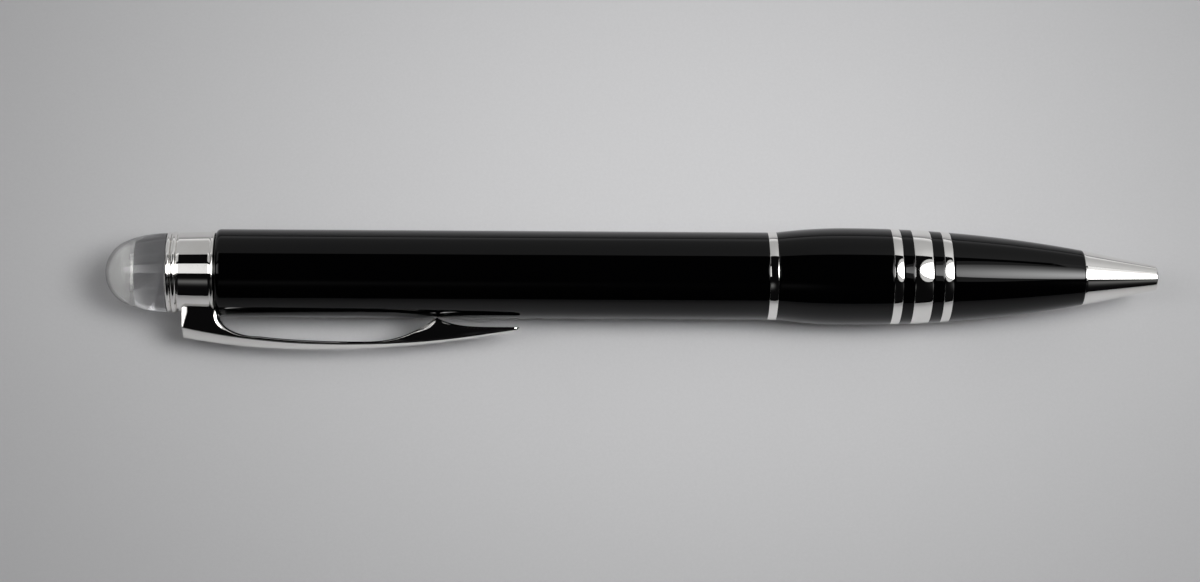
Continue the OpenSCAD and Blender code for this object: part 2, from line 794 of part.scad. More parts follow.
// Metal bush pressed into the barrel; it carries the band, the dome ring and the dome
module top_bush() {
    pocket_low = tenon_z - tenon_hook - tenon_play;
    pocket_high = tenon_z + tenon_length + tenon_play;
    pocket_width = tenon_width + 2 * tenon_play;
    color(steel)
        lay()
            difference() {
                tube(z_band - bush_plug, z_dome, bush_r, dome_spigot_d / 2);
                translate([tenon_floor_r - tenon_play, -pocket_width / 2, pocket_low])
                    cube([bush_r, pocket_width, pocket_high - pocket_low]);
            }
}

// Bright band with a bead along the barrel and a window for the clip's tenon
module clip_band() {
    window_low = tenon_z - tenon_play;
    window_length = tenon_length + 2 * tenon_play;
    window_width = tenon_width + 2 * tenon_play;
    bead_r = band_bead / 2;
    color(chrome)
        lay()
            difference() {
                rotate_extrude() {
                    translate([band_bore_r, z_band])
                        square([band_r + bead_crest - bead_r - band_bore_r, bead_r]);
                    translate([band_r + bead_crest - bead_r, z_band + bead_r])
                        circle(r = bead_r, $fn = 48);
                    translate([band_bore_r, z_band + bead_r])
                        square([band_r - band_bore_r, band_width - bead_r - band_groove]);
                    translate([band_bore_r, z_dome_ring - band_groove])
                        square([band_r - band_groove - band_bore_r, band_groove]);
                }
                translate([band_bore_r - cut, -window_width / 2, window_low])
                    cube([band_r, window_width, window_length]);
            }
}

// Beaded ring between the band and the dome
module dome_ring() {
    large = dome_bead_large / 2;
    small = dome_bead_small / 2;
    color(chrome)
        lay()
            rotate_extrude() {
                translate([band_bore_r, z_dome_ring])
                    square([dome_ring_d / 2 - large - band_bore_r, z_dome - z_dome_ring]);
                translate([dome_ring_d / 2 - large, z_dome_ring + large])
                    circle(r = large, $fn = 48);
                translate([dome_ring_d / 2 - large, z_dome - small])
                    circle(r = small, $fn = 48);
            }
}

// Half outline of the clear dome: a bowed side that runs into a ball-shaped end
module dome_outline() {
    ball_r = dome_nose_d / 2;
    base_r = dome_base_d / 2;
    ball_z = dome_length - ball_r;
    side_r = (pow(ball_z, 2) + pow(base_r, 2) - pow(ball_r, 2)) / (2 * (base_r - ball_r));
    touch_z = ball_z + ball_r * sin(atan(ball_z / (side_r - base_r)));
    translate([0, z_dome]) {
        intersection() {
            translate([base_r - side_r, 0])
                circle(r = side_r, $fn = arc_fn);
            square([base_r, touch_z]);
        }
        intersection() {
            translate([0, ball_z])
                circle(r = ball_r, $fn = 96);
            translate([0, touch_z])
                square([ball_r, ball_r]);
        }
    }
}

// Lower half of the dome, with a spigot in the bush
module dome_base() {
    color(clear)
        lay()
            rotate_extrude() {
                intersection() {
                    dome_outline();
                    translate([0, z_dome])
                        square([dome_base_d, disc_height]);
                }
                translate([0, z_dome - dome_spigot])
                    square([dome_spigot_d / 2 - press_fit, dome_spigot]);
            }
}

// Plain white disc held between the two halves of the dome
module dome_disc() {
    color(white)
        lay()
            translate([0, 0, z_dome + disc_height])
                cylinder(d = disc_d, h = disc_thickness);
}

// Upper half of the dome, with a recess for the disc
module dome_cap() {
    color(clear)
        lay()
            rotate_extrude()
                difference() {
                    intersection() {
                        dome_outline();
                        translate([0, z_dome + disc_height])
                            square([dome_base_d, dome_length]);
                    }
                    translate([0, z_dome + disc_height])
                        square([disc_d / 2 + press_fit, disc_thickness]);
                }
}

// Sculpted clip: crowned back, thin arm, bump and tail, with a hooked tenon under its foot
module clip() {
    color(chrome)
        lay() {
            loft(clip_sections);
            translate([tenon_floor_r, -tenon_width / 2, tenon_z])
                cube([tenon_root_r - tenon_floor_r, tenon_width, tenon_length]);
            translate([tenon_floor_r, -tenon_width / 2, tenon_z - tenon_hook])
                cube([hook_top_r - tenon_floor_r, tenon_width, tenon_hook + tenon_length]);
        }
}

// Ink tube of the refill with its narrower neck
module refill_tube() {
    color(ink_tube)
        lay()
            rotate_extrude()
                difference() {
                    union() {
                        translate([0, z_neck])
                            square([neck_d / 2, neck_length + refill_wall]);
                        translate([0, z_tube])
                            square([refill_r, refill_tube_length]);
                    }
                    translate([0, z_tube + refill_wall])
                        square([refill_r - refill_wall, refill_tube_length]);
                    translate([0, z_neck - cut])
                        square([ink_bore_d / 2, neck_length + 2 * cut]);
                }
}

// Writing point: a straight shank and a short taper with the socket of the ball
module refill_point() {
    socket_z = tip_recess + ball_show;
    color(brass)
        lay()
            difference() {
                union() {
                    translate([0, 0, tip_recess + point_taper])
                        cylinder(d = point_d, h = point_length - point_taper);
                    translate([0, 0, socket_z])
                        cylinder(d1 = ball_d + 2 * socket_wall, d2 = point_d, h = point_taper - ball_show);
                    translate([0, 0, z_neck])
                        cylinder(d = ink_bore_d - 2 * press_fit, h = point_stub);
                }
                translate([0, 0, tip_recess + ball_d / 2])
                    sphere(d = ball_d + 2 * press_fit);
            }
}

// Plug that closes the rear of the ink tube
module refill_end_plug() {
    color(rubber)
        lay() {
            translate([0, 0, z_plug])
                cylinder(r = refill_r, h = end_plug_rim);
            translate([0, 0, z_plug - end_plug_length])
                cylinder(r = refill_r - refill_wall - press_fit, h = end_plug_length);
        }
}

// Plunger that pushes the refill, drilled across for the pin
module plunger() {
    color(steel)
        lay()
            difference() {
                translate([0, 0, z_plunger])
                    cylinder(r = tube_bore_r - run_fit, h = plunger_length);
                translate([0, 0, z_pin])
                    rotate([90, 0, 0])
                        cylinder(r = pin_r + press_fit, h = 2 * (tube_r + cut), center = true);
            }
}

// Pin through the plunger that rides in the slots of the guide tube and the cam sleeve
module cross_pin() {
    color(steel)
        lay()
            translate([0, 0, z_pin])
                rotate([90, 0, 0])
                    cylinder(r = pin_r, h = 2 * pin_reach, center = true);
}

// Ball that rolls in the writing point
module writing_ball() {
    color(steel)
        lay()
            translate([0, 0, tip_recess + ball_d / 2])
                sphere(d = ball_d);
}

nose_cone();
grip_front_shell();
ring_front();
spacer_front();
ring_wide();
spacer_rear();
ring_rear();
grip_rear_shell();
grip_liner();
guide_tube();
retaining_ring();
return_spring();
joint_ring();
barrel_shell();
barrel_liner();
turning_seal();
cam_sleeve();
thrust_washer();
top_bush();
clip_band();
dome_ring();
dome_base();
dome_disc();
dome_cap();
clip();
refill_tube();
refill_point();
refill_end_plug();
plunger();
cross_pin();
writing_ball();
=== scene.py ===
"""Twist ballpoint pen with black resin shells, bright trim and a clear dome, lying on a pale studio floor."""

import json
import logging
import math
from dataclasses import dataclass
from enum import Enum

import bmesh
import bpy
from mathutils import Matrix, Vector


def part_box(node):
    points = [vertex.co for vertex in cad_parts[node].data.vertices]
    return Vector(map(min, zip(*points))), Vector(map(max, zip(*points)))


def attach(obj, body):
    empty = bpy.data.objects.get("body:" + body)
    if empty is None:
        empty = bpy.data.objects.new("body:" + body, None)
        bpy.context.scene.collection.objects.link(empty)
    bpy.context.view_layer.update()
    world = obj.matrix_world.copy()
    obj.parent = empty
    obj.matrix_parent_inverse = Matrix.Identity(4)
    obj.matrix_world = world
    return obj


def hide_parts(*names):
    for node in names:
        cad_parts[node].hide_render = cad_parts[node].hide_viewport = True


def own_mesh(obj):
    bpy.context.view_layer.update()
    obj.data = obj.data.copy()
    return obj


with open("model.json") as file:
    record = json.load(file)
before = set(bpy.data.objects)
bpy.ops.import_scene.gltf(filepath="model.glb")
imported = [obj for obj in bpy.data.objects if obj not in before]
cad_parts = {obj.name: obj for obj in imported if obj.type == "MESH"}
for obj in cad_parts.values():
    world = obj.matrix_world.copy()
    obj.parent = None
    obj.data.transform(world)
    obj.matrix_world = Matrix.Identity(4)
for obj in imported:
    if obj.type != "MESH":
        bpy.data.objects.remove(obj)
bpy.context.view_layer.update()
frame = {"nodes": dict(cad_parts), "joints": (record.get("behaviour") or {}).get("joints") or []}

log = logging.getLogger("pen")
MM = 0.001
QUARTER = math.pi / 2.0
ORIGIN = (0.0, 0.0, 0.0)
ALONG = (1.0, 0.0, 0.0)
ROUND_STEPS = 192
MERGE = 1e-7
SEAM_SHIFT = 0.12
Triple = tuple[float, float, float]
Colour = tuple[float, float, float]
Mesh = bmesh.types.BMesh
Piece = bpy.types.Object
Material = bpy.types.Material
Node = bpy.types.Node
Socket = bpy.types.NodeSocket
Tree = bpy.types.NodeTree


class Body(str, Enum):
    """Moving groups of the pen."""

    BARREL = "barrel"
    CLIP = "clip"
    GRIP = "grip"
    REFILL = "refill"


class Slot(str, Enum):
    """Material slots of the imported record."""

    RESIN = "black_resin"
    CHROME = "chrome_trim"
    CLEAR = "clear_resin"
    DISC = "white_disc"
    BRASS = "brass_inside"
    STEEL = "steel_inside"
    RUBBER = "rubber_seal"
    INK_TUBE = "refill_plastic"


@dataclass(frozen=True)
class PenAxis:
    """Line through the middle of the pen; places along it are millimetres from the nose end."""

    nose_x: float
    y: float
    z: float
    roll: float

    @classmethod
    def of_frame(cls) -> "PenAxis":
        """Reads the axis from the twist joint and the clip's roll from its hinge.

        Returns:
            The axis in the frame's metres.
        """
        joints = {joint["name"]: joint for joint in frame["joints"]}
        twist = joints["grip_twist"]["pos_m"]
        lift = joints["clip_lift"]["axis"]
        return cls(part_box("nose_cone")[1].x, twist[1], twist[2], math.atan2(lift[1], -lift[2]))

    def x(self, d: float) -> float:
        """Frame X of a place so many millimetres from the nose end."""
        return self.nose_x - d * MM

    def d(self, x: float) -> float:
        """Millimetres from the nose end of a place on the frame's X."""
        return (self.nose_x - x) / MM

    def span(self, node: str) -> tuple[float, float]:
        """Front and rear end of a solid, in millimetres from the nose end."""
        low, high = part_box(node)
        return self.d(high.x), self.d(low.x)

    def set_in_place(self, bm: Mesh) -> None:
        """Moves a shape drawn round the X axis onto the pen's axis."""
        bmesh.ops.translate(bm, verts=bm.verts[:], vec=(0.0, self.y, self.z))


def turn_rise(radius: float, angle: float) -> float:
    """Height of an arc over its chord, from its radius and the angle that it turns through."""
    return radius * (1.0 - math.cos(angle / 2.0))


def share(a: float, b: float, v: float) -> float:
    """Part of the way from a to b at v, held within 0 and 1."""
    return min(1.0, max(0.0, (v - a) / (b - a)))


def between(a: float, b: float, part: float) -> float:
    """Value part of the way from a to b."""
    return a + (b - a) * part


def mend(bm: Mesh) -> None:
    """Merges doubled points, and then turns all faces outwards."""
    bmesh.ops.remove_doubles(bm, verts=bm.verts[:], dist=MERGE)
    bmesh.ops.recalc_face_normals(bm, faces=bm.faces[:])


def round_edges(bm: Mesh, edges: list[bmesh.types.BMEdge], width: float) -> None:
    """Rounds edges over a width in millimetres."""
    bmesh.ops.bevel(bm, geom=edges, offset=width * MM, offset_type="OFFSET", segments=3, profile=0.5,
                    affect="EDGES", clamp_overlap=True, material=-1)


def make_piece(name: str, bm: Mesh, material: Material, sharp_deg: float = 38.0) -> Piece:
    """Turns a finished bmesh into a smooth-shaded object.

    Args:
        name: Name of the piece.
        bm: The shape in frame metres; it is freed.
        material: Its material.
        sharp_deg: Edges steeper than this stay crisp.

    Returns:
        The new object, at the origin and linked to the scene.
    """
    mesh = bpy.data.meshes.new(name)
    bm.to_mesh(mesh)
    bm.free()
    mesh.shade_smooth()
    mesh.set_sharp_from_angle(angle=math.radians(sharp_deg))
    mesh.materials.append(material)
    piece = bpy.data.objects.new(name, mesh)
    bpy.context.scene.collection.objects.link(piece)
    return piece


class Lathe:
    """Draws a half outline beside the pen's axis, outside on the left going back, and spins it round."""

    MOST_HOLD = 0.4

    def __init__(self, axis: PenAxis, d: float, r: float) -> None:
        """Starts an outline.

        Args:
            axis: The pen's axis.
            d: Millimetres from the nose at the first point.
            r: Its distance from the axis.
        """
        self.axis = axis
        self.bm = bmesh.new()
        self.first = self.last = self.bm.verts.new(self._point(d, r))

    def _point(self, d: float, r: float) -> Vector:
        """Place of an outline point in the drawing plane."""
        return Vector((self.axis.x(d), 0.0, r * MM))

    def line(self, d: float, r: float, hold: float = 0.0) -> "Lathe":
        """Draws a straight line.

        Args:
            d: Millimetres from the nose at its end.
            r: Radius at its end.
            hold: Distance from both ends of extra points that keep the shading even.

        Returns:
            The lathe.
        """
        begin, end = self.last.co.copy(), self._point(d, r)
        part = hold * MM / max((end - begin).length, MERGE)
        stops = (part, 1.0 - part, 1.0) if 0.0 < part < self.MOST_HOLD else (1.0,)
        for stop in stops:
            self.last = bmesh.ops.extrude_vert_indiv(self.bm, verts=[self.last])["verts"][0]
            self.last.co = begin.lerp(end, stop)
        return self

    def arc(self, d: float, r: float, rise: float, parts: int = 8) -> "Lathe":
        """Draws an arc of less than half a turn.

        Args:
            d: Millimetres from the nose at its end.
            r: Radius at its end.
            rise: Height of the arc over its chord, outwards if above 0.
            parts: Number of straight parts.

        Returns:
            The lathe.
        """
        begin, end = self.last.co.copy(), self._point(d, r)
        chord = end - begin
        out = Vector((chord.z, 0.0, -chord.x)).normalized()
        height = rise * MM
        radius = (chord.length_squared / 4.0 + height * height) / (2.0 * abs(height))
        centre = (begin + end) / 2.0 + out * (height - math.copysign(radius, height))
        a, b = begin - centre, end - centre
        angle = math.atan2(a.z * b.x - a.x * b.z, a.x * b.x + a.z * b.z)
        swept = bmesh.ops.spin(self.bm, geom=[self.last], cent=centre, axis=(0.0, 1.0, 0.0),
                               angle=angle, steps=parts)
        self.last = next(g for g in swept["geom_last"] if isinstance(g, bmesh.types.BMVert))
        return self

    def bow(self, d: float, r: float, radius: float, parts: int) -> "Lathe":
        """Draws an arc that ends at d and r, bulges outwards and has the radius given."""
        half = (self._point(d, r) - self.last.co).length / MM / 2.0
        return self.arc(d, r, radius - math.sqrt(radius * radius - half * half), parts)

    def bead(self, d: float, radius: float) -> "Lathe":
        """Draws a half-round bead of the radius given, which ends at d."""
        low, rise = self.last.co.z / MM, turn_rise(radius, QUARTER)
        return self.arc(d - radius, low + radius, rise).arc(d, low, rise)

    def turn(self, edge: float = 0.0, sharp_deg: float = 30.0) -> Mesh:
        """Closes the outline, spins it once round and rounds its sharp edges.

        Args:
            edge: Width of the rounding, or 0 for none.
            sharp_deg: Edges steeper than this are rounded.

        Returns:
            The finished shape in its place on the pen.
        """
        self.bm.edges.new((self.last, self.first))
        bmesh.ops.spin(self.bm, geom=self.bm.verts[:] + self.bm.edges[:], cent=ORIGIN, axis=ALONG,
                       angle=math.tau, steps=ROUND_STEPS, use_merge=True)
        mend(self.bm)
        if edge > 0.0:
            limit = math.radians(sharp_deg)
            sharp = [e for e in self.bm.edges if e.is_manifold and e.calc_face_angle() > limit]
            round_edges(self.bm, sharp, edge)
        self.axis.set_in_place(self.bm)
        return self.bm


class Graph:
    """Adds and joins the nodes of one shader tree."""

    def __init__(self, tree: Tree) -> None:
        """Works on the tree given."""
        self.tree = tree

    def find(self, kind: str) -> Node:
        """First node of a type, such as the shader that a new tree starts with."""
        return next(node for node in self.tree.nodes if node.type == kind)

    def fill(self, node: Node, inputs: dict[str | int, object]) -> None:
        """Sets or joins inputs of a node.

        Args:
            node: The node.
            inputs: Values, or sockets to join, by the input's name or place.
        """
        for key, value in inputs.items():
            if isinstance(value, Socket):
                self.tree.links.new(value, node.inputs[key])
            else:
                node.inputs[key].default_value = value

    def add(self, kind: str, inputs: dict[str | int, object] | None = None, **settings: object) -> Node:
        """Adds a node.

        Args:
            kind: Blender's name of the node type, without its ShaderNode prefix.
            inputs: Values or sockets for its inputs, by name or place.
            settings: Properties of the node.

        Returns:
            The node.
        """
        node = self.tree.nodes.new(kind if kind.startswith("NodeGroup") else f"ShaderNode{kind}")
        for key, value in settings.items():
            setattr(node, key, value)
        self.fill(node, inputs or {})
        return node

    def place(self) -> Socket:
        """Place on the object, in its own coordinates."""
        return self.add("TexCoord").outputs["Object"]

    def effect(self, group: Tree, **inputs: float) -> Socket:
        """Places a shared group with its own values and returns its output."""
        return self.add("Group", inputs, node_tree=group).outputs[0]

    def math(self, operation: str, *values: float | Socket, clamp: bool = False) -> Socket:
        """Adds a Math node on values or sockets and returns its result."""
        return self.add("Math", dict(enumerate(values)), operation=operation, use_clamp=clamp).outputs[0]

    def spread(self, value: Socket, low: float, high: float, start: float | Socket = 0.0,
               end: float | Socket = 1.0) -> Socket:
        """Maps a value that lies between low and high to one between start and end."""
        inputs = {"Value": value, "From Min": low, "From Max": high, "To Min": start, "To Max": end}
        return self.add("MapRange", inputs).outputs["Result"]

    def noise(self, place: Socket, scale: float | Socket, detail: float, **more: float) -> Socket:
        """Adds a Noise texture and returns its value."""
        inputs = {"Vector": place, "Scale": scale, "Detail": detail, **more}
        return self.add("TexNoise", inputs).outputs["Fac"]

    def blend(self, mask: Socket, a: Colour | Socket, b: Colour) -> Socket:
        """Mixes a colour, or a socket that gives it, with another colour by a mask."""
        inputs = {"Factor": mask, "A": a if isinstance(a, Socket) else (*a, 1.0), "B": (*b, 1.0)}
        return next(s for s in self.add("Mix", inputs, data_type="RGBA").outputs if s.type == "RGBA")

    def bump(self, height: Socket, strength: float, distance: float) -> Socket:
        """Adds a Bump node and returns its normal."""
        inputs = {"Strength": strength, "Distance": distance, "Height": height}
        return self.add("Bump", inputs).outputs["Normal"]

    def fall_off(self, place: Socket, middle: Triple, reach: Triple) -> Socket:
        """Makes a soft spot.

        Args:
            place: Place that is looked at.
            middle: Place where the spot is 1.
            reach: Distance along each axis over which it falls to 1 / e.

        Returns:
            The strength of the spot there.
        """
        away = self.add("VectorMath", {0: place, 1: middle}, operation="SUBTRACT").outputs["Vector"]
        scaled = self.add("VectorMath", {0: away, 1: reach}, operation="DIVIDE").outputs["Vector"]
        square = self.add("VectorMath", {0: scaled, 1: scaled}, operation="DOT_PRODUCT").outputs["Value"]
        return self.math("POWER", math.e, self.math("MULTIPLY", square, -1.0))


class EffectGroups:
    """Node groups that several finishes share, each built once."""

    def __init__(self) -> None:
        """Builds all the groups."""
        self.smudges = self._smudges()
        self.turning = self._turning()
        self.specks = self._specks()
        self.hairlines = self._hairlines()

    @staticmethod
    def _open(name: str, output: str, **inputs: float) -> tuple[Graph, bpy.types.NodeOutputs]:
        """Starts a group.

        Args:
            name: Name of the group.
            output: Name of its number output.
            inputs: Names and defaults of its number inputs.

        Returns:
            The group's graph and the sockets of its inputs.
        """
        tree = bpy.data.node_groups.new(name, "ShaderNodeTree")
        for key, default in inputs.items():
            given = tree.interface.new_socket(name=key, in_out="INPUT", socket_type="NodeSocketFloat")
            given.default_value = default
        tree.interface.new_socket(name=output, in_out="OUTPUT", socket_type="NodeSocketFloat")
        graph = Graph(tree)
        return graph, graph.add("NodeGroupInput").outputs

    @staticmethod
    def _close(graph: Graph, value: Socket) -> Tree:
        """Joins a value to the group's output and returns the group."""
        graph.add("NodeGroupOutput", {0: value})
        return graph.tree

    def _smudges(self) -> Tree:
        """Soft handling marks.

        Returns:
            A group whose value drifts between Low and High.
        """
        graph, given = self._open("soft_smudges", "Value", Scale=90.0, Low=0.03, High=0.08)
        cloud = graph.noise(graph.place(), given["Scale"], detail=4.0, Roughness=0.6, Distortion=0.4)
        return self._close(graph, graph.spread(cloud, 0.38, 0.66, given["Low"], given["High"]))

    def _turning(self) -> Tree:
        """Fine rings that a lathe leaves round the pen's axis.

        Returns:
            A group that gives their height.
        """
        graph, given = self._open("turning_marks", "Height", Scale=9000.0)
        along = graph.add("SeparateXYZ", {"Vector": graph.place()}).outputs["X"]
        lines = graph.add("TexNoise", {"W": graph.math("MULTIPLY", along, given["Scale"]), "Scale": 1.0,
                                       "Detail": 3.0}, noise_dimensions="1D")
        return self._close(graph, lines.outputs["Fac"])

    def _specks(self) -> Tree:
        """Scattered dust.

        Returns:
            A group that gives a mask of small soft dots.
        """
        graph, given = self._open("dust_specks", "Mask", Scale=420.0, Size=0.05)
        place = graph.place()
        cells = graph.add("TexVoronoi", {"Vector": place, "Scale": given["Scale"], "Randomness": 1.0})
        patches = graph.spread(graph.noise(place, scale=140.0, detail=2.0), 0.5, 0.62)
        size = graph.math("MULTIPLY", patches, given["Size"])
        inside = graph.math("SUBTRACT", size, cells.outputs["Distance"])
        return self._close(graph, graph.math("MULTIPLY", inside, 60.0, clamp=True))

    def _hairlines(self) -> Tree:
        """Hairline scratches along the pen.

        Returns:
            A group that gives a mask of thin broken lines.
        """
        graph, given = self._open("hairline_scratches", "Mask", Scale=700.0, Width=0.006)
        place = graph.place()
        inputs = {"Vector": place, "Rotation": (0.0, 0.25, 0.35), "Scale": (0.05, 1.0, 1.0)}
        field = graph.noise(graph.add("Mapping", inputs).outputs["Vector"], given["Scale"], detail=1.0)
        off = graph.math("ABSOLUTE", graph.math("SUBTRACT", field, 0.5))
        line = graph.math("LESS_THAN", off, given["Width"])
        some = graph.math("GREATER_THAN", graph.noise(place, scale=260.0, detail=1.0), 0.56)
        return self._close(graph, graph.math("MULTIPLY", line, some))


@dataclass(frozen=True)
class Finish:
    """What every finish has: a name, and what it puts into the shader."""

    name: str

    def inputs(self, graph: Graph, groups: EffectGroups) -> dict[str, object]:
        """Values and sockets for the shader's inputs; each finish has its own."""
        raise NotImplementedError(self.name)

    def build(self, groups: EffectGroups) -> Material:
        """Makes the material.

        Args:
            groups: The shared node groups.

        Returns:
            The material.
        """
        material = bpy.data.materials.new(self.name)
        material.use_nodes = True
        graph = Graph(material.node_tree)
        graph.fill(graph.find("BSDF_PRINCIPLED"), self.inputs(graph, groups))
        return material


@dataclass(frozen=True)
class PolishedResin(Finish):
    """Glossy black resin with a little dust and hairlines."""

    name: str = "black_resin_polished"
    colour: Colour = (0.0004, 0.0004, 0.0005)
    dust: Colour = (0.014, 0.014, 0.015)
    smudge_scale: float = 70.0
    low: float = 0.012
    high: float = 0.03
    scratch: float = 0.06
    ior: float = 1.33

    def inputs(self, graph: Graph, groups: EffectGroups) -> dict[str, object]:
        """Dust in the colour, and smudges and hairlines in the gloss.

        Args:
            graph: The material's graph.
            groups: The shared node groups.

        Returns:
            What goes into the shader's inputs.
        """
        smudge = graph.effect(groups.smudges, Scale=self.smudge_scale, Low=self.low, High=self.high)
        return {"Base Color": graph.blend(graph.effect(groups.specks), self.colour, self.dust),
                "Roughness": graph.math("MULTIPLY_ADD", graph.effect(groups.hairlines), self.scratch, smudge),
                "IOR": self.ior}


@dataclass(frozen=True)
class BrightMetal(Finish):
    """Polished plating or turned metal, with smudges and fine turning marks."""

    colour: Colour
    tarnish: Colour
    low: float
    high: float
    marks: float
    film_scale: float = 160.0
    mark_height: float = 0.00002

    def inputs(self, graph: Graph, groups: EffectGroups) -> dict[str, object]:
        """A thin film in the colour, smudges in the gloss and turning marks.

        Args:
            graph: The material's graph.
            groups: The shared node groups.

        Returns:
            What goes into the shader's inputs.
        """
        film = graph.effect(groups.smudges, Scale=self.film_scale, Low=0.0, High=1.0)
        return {"Base Color": graph.blend(film, self.colour, self.tarnish), "Metallic": 1.0,
                "Roughness": graph.effect(groups.smudges, Low=self.low, High=self.high),
                "Normal": graph.bump(graph.effect(groups.turning), self.marks, self.mark_height)}


@dataclass(frozen=True)
class ClearResin(Finish):
    """Clear solid resin of the dome, with another tint near the disc and a painted dark rim; its milky copy
    is painted light and its darker copy painted shade.
    """

    colour: Colour
    near: Colour
    clearness: float
    middle: Triple
    # Painted shade: the dark colour towards the rim, where the surface turns away from the view.
    rim_shade: Colour = (0.06, 0.06, 0.065)
    reach: Triple = (0.0011, 1.0, 1.0)
    rim_start: float = 0.52
    rim_full: float = 0.82
    smudge_scale: float = 120.0
    low: float = 0.0
    high: float = 0.025
    ior: float = 1.49

    def inputs(self, graph: Graph, groups: EffectGroups) -> dict[str, object]:
        """Two tints and a painted dark rim in the colour, and smudges in the gloss.

        Args:
            graph: The material's graph.
            groups: The shared node groups.

        Returns:
            What goes into the shader's inputs.
        """
        tint = graph.blend(graph.fall_off(graph.place(), self.middle, self.reach), self.colour, self.near)
        # Painted shade: the colour darkens towards the rim as the surface turns away from the view.
        rim_shade = graph.spread(graph.add("LayerWeight").outputs["Facing"], self.rim_start, self.rim_full)
        smudge = graph.effect(groups.smudges, Scale=self.smudge_scale, Low=self.low, High=self.high)
        return {"Base Color": graph.blend(rim_shade, tint, self.rim_shade), "Roughness": smudge,
                "Transmission Weight": self.clearness, "IOR": self.ior}


@dataclass(frozen=True)
class MouldedStuff(Finish):
    """Plain moulded or rubbery stuff with a faint mottle."""

    colour: Colour
    shade: Colour
    low: float
    high: float
    grain: float
    mottle_scale: float = 400.0
    grain_height: float = 0.00003

    def inputs(self, graph: Graph, groups: EffectGroups) -> dict[str, object]:
        """A mottle in the colour and the surface, and smudges in the gloss.

        Args:
            graph: The material's graph.
            groups: The shared node groups.

        Returns:
            What goes into the shader's inputs.
        """
        mottle = graph.effect(groups.smudges, Scale=self.mottle_scale, Low=0.0, High=1.0)
        return {"Base Color": graph.blend(mottle, self.colour, self.shade),
                "Roughness": graph.effect(groups.smudges, Low=self.low, High=self.high),
                "Normal": graph.bump(mottle, self.grain, self.grain_height)}


@dataclass(frozen=True)
class FloorPaper(Finish):
    """Pale, fine-grained paper that the pen lies on, with a painted pool of light that darkens it towards the
    edge.
    """

    name: str = "floor_paper"
    colour: Colour = (0.54, 0.539, 0.548)
    # Painted shade: the darker colour that the painted pool of light fades to at the edge of the floor.
    edge: Colour = (0.22, 0.22, 0.223)
    # Middle and reach of the painted pool of light.
    middle: Triple = (0.007, 0.016, 0.0)
    reach: Triple = (0.0985, 0.077, 1.0)
    grain_scale: float = 2600.0
    grain_low: float = 0.95
    grain: float = 0.1
    grain_height: float = 0.00003
    roughness: float = 0.9
    shine: float = 0.1

    def inputs(self, graph: Graph, groups: EffectGroups) -> dict[str, object]:
        """A painted pool of light and a fine grain in the colour, and the grain in the surface.

        Args:
            graph: The material's graph.
            groups: The shared node groups.

        Returns:
            What goes into the shader's inputs.
        """
        grain = graph.effect(groups.smudges, Scale=self.grain_scale, Low=self.grain_low, High=1.0)
        # Painted pool of light: pale in the middle and falling off to the darker edge colour, with the grain
        # mixed in.
        mask = graph.math("MULTIPLY", graph.fall_off(graph.place(), self.middle, self.reach), grain)
        return {"Base Color": graph.blend(mask, self.edge, self.colour), "Roughness": self.roughness,
                "Specular IOR Level": self.shine, "Normal": graph.bump(grain, self.grain, self.grain_height)}


class Finishes:
    """All finishes of the pen, one for each material slot and a second one for the dome; the dome's milky
    resin is painted light and its darker copy painted shade.
    """

    def __init__(self, groups: EffectGroups, axis: PenAxis) -> None:
        """Builds every material once.

        Args:
            groups: The shared node groups.
            axis: The pen's axis.
        """
        split = (axis.x(axis.span("dome_base")[1]), axis.y, axis.z)
        finishes = {
            Slot.RESIN: PolishedResin(),
            Slot.CHROME: BrightMetal("chrome_polished", (0.93, 0.92, 0.90), (0.88, 0.865, 0.84),
                                     low=0.012, high=0.04, marks=0.02),
            # Painted light: the milky, partly diffuse cap stands in for the light that the dome gathers on
            # the floor beneath it.
            Slot.CLEAR: ClearResin("clear_resin_milky", (0.95, 0.95, 0.94), (0.72, 0.72, 0.71),
                                   clearness=0.78, middle=split),
            Slot.DISC: MouldedStuff("disc_white_polished", (0.88, 0.88, 0.86), (0.80, 0.80, 0.78),
                                    low=0.15, high=0.3, grain=0.02),
            Slot.BRASS: BrightMetal("brass_turned", (0.72, 0.55, 0.26), (0.58, 0.42, 0.19),
                                    low=0.15, high=0.3, marks=0.25),
            Slot.STEEL: BrightMetal("steel_turned", (0.56, 0.565, 0.58), (0.47, 0.47, 0.48),
                                    low=0.14, high=0.28, marks=0.2),
            Slot.RUBBER: MouldedStuff("rubber_matt", (0.03, 0.03, 0.032), (0.045, 0.045, 0.047),
                                      low=0.6, high=0.8, grain=0.3),
            Slot.INK_TUBE: MouldedStuff("ink_tube_moulded", (0.2, 0.22, 0.3), (0.16, 0.175, 0.25),
                                        low=0.35, high=0.5, grain=0.1),
        }
        self.of = {slot: finish.build(groups) for slot, finish in finishes.items()}
        # Painted shade: a darker copy of the clear resin for the dome's base, standing in for the shaded
        # floor seen through it.
        self.shaded_clear_resin = ClearResin("clear_resin_smoky", (0.62, 0.62, 0.63), (0.8, 0.8, 0.8),
                                clearness=1.0, middle=split, rim_shade=(0.5, 0.5, 0.51)).build(groups)


@dataclass
class SubAssembly:
    """What every group of pieces has: the pen's axis and the finishes."""

    axis: PenAxis
    finishes: Finishes

    def dress(self, name: str, bm: Mesh, slot: Slot, body: Body, node: str, finish: Material | None = None,
              sharp_deg: float = 38.0) -> Piece:
        """Makes a piece, gives it its finish and its body, and hides the solid that it stands for.

        Args:
            name: Name of the piece.
            bm: The shape in frame metres; it is freed.
            slot: The record's slot that the finish belongs to.
            body: The body that it moves with.
            node: Name of the solid that it stands for.
            finish: Its material, where that isn't the slot's own.
            sharp_deg: Edges steeper than this stay crisp.

        Returns:
            The piece.
        """
        piece = make_piece(name, bm, finish or self.finishes.of[slot], sharp_deg)
        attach(piece, body.value)
        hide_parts(node)
        log.info("%s rides on %s", piece.name, body.value)
        return piece


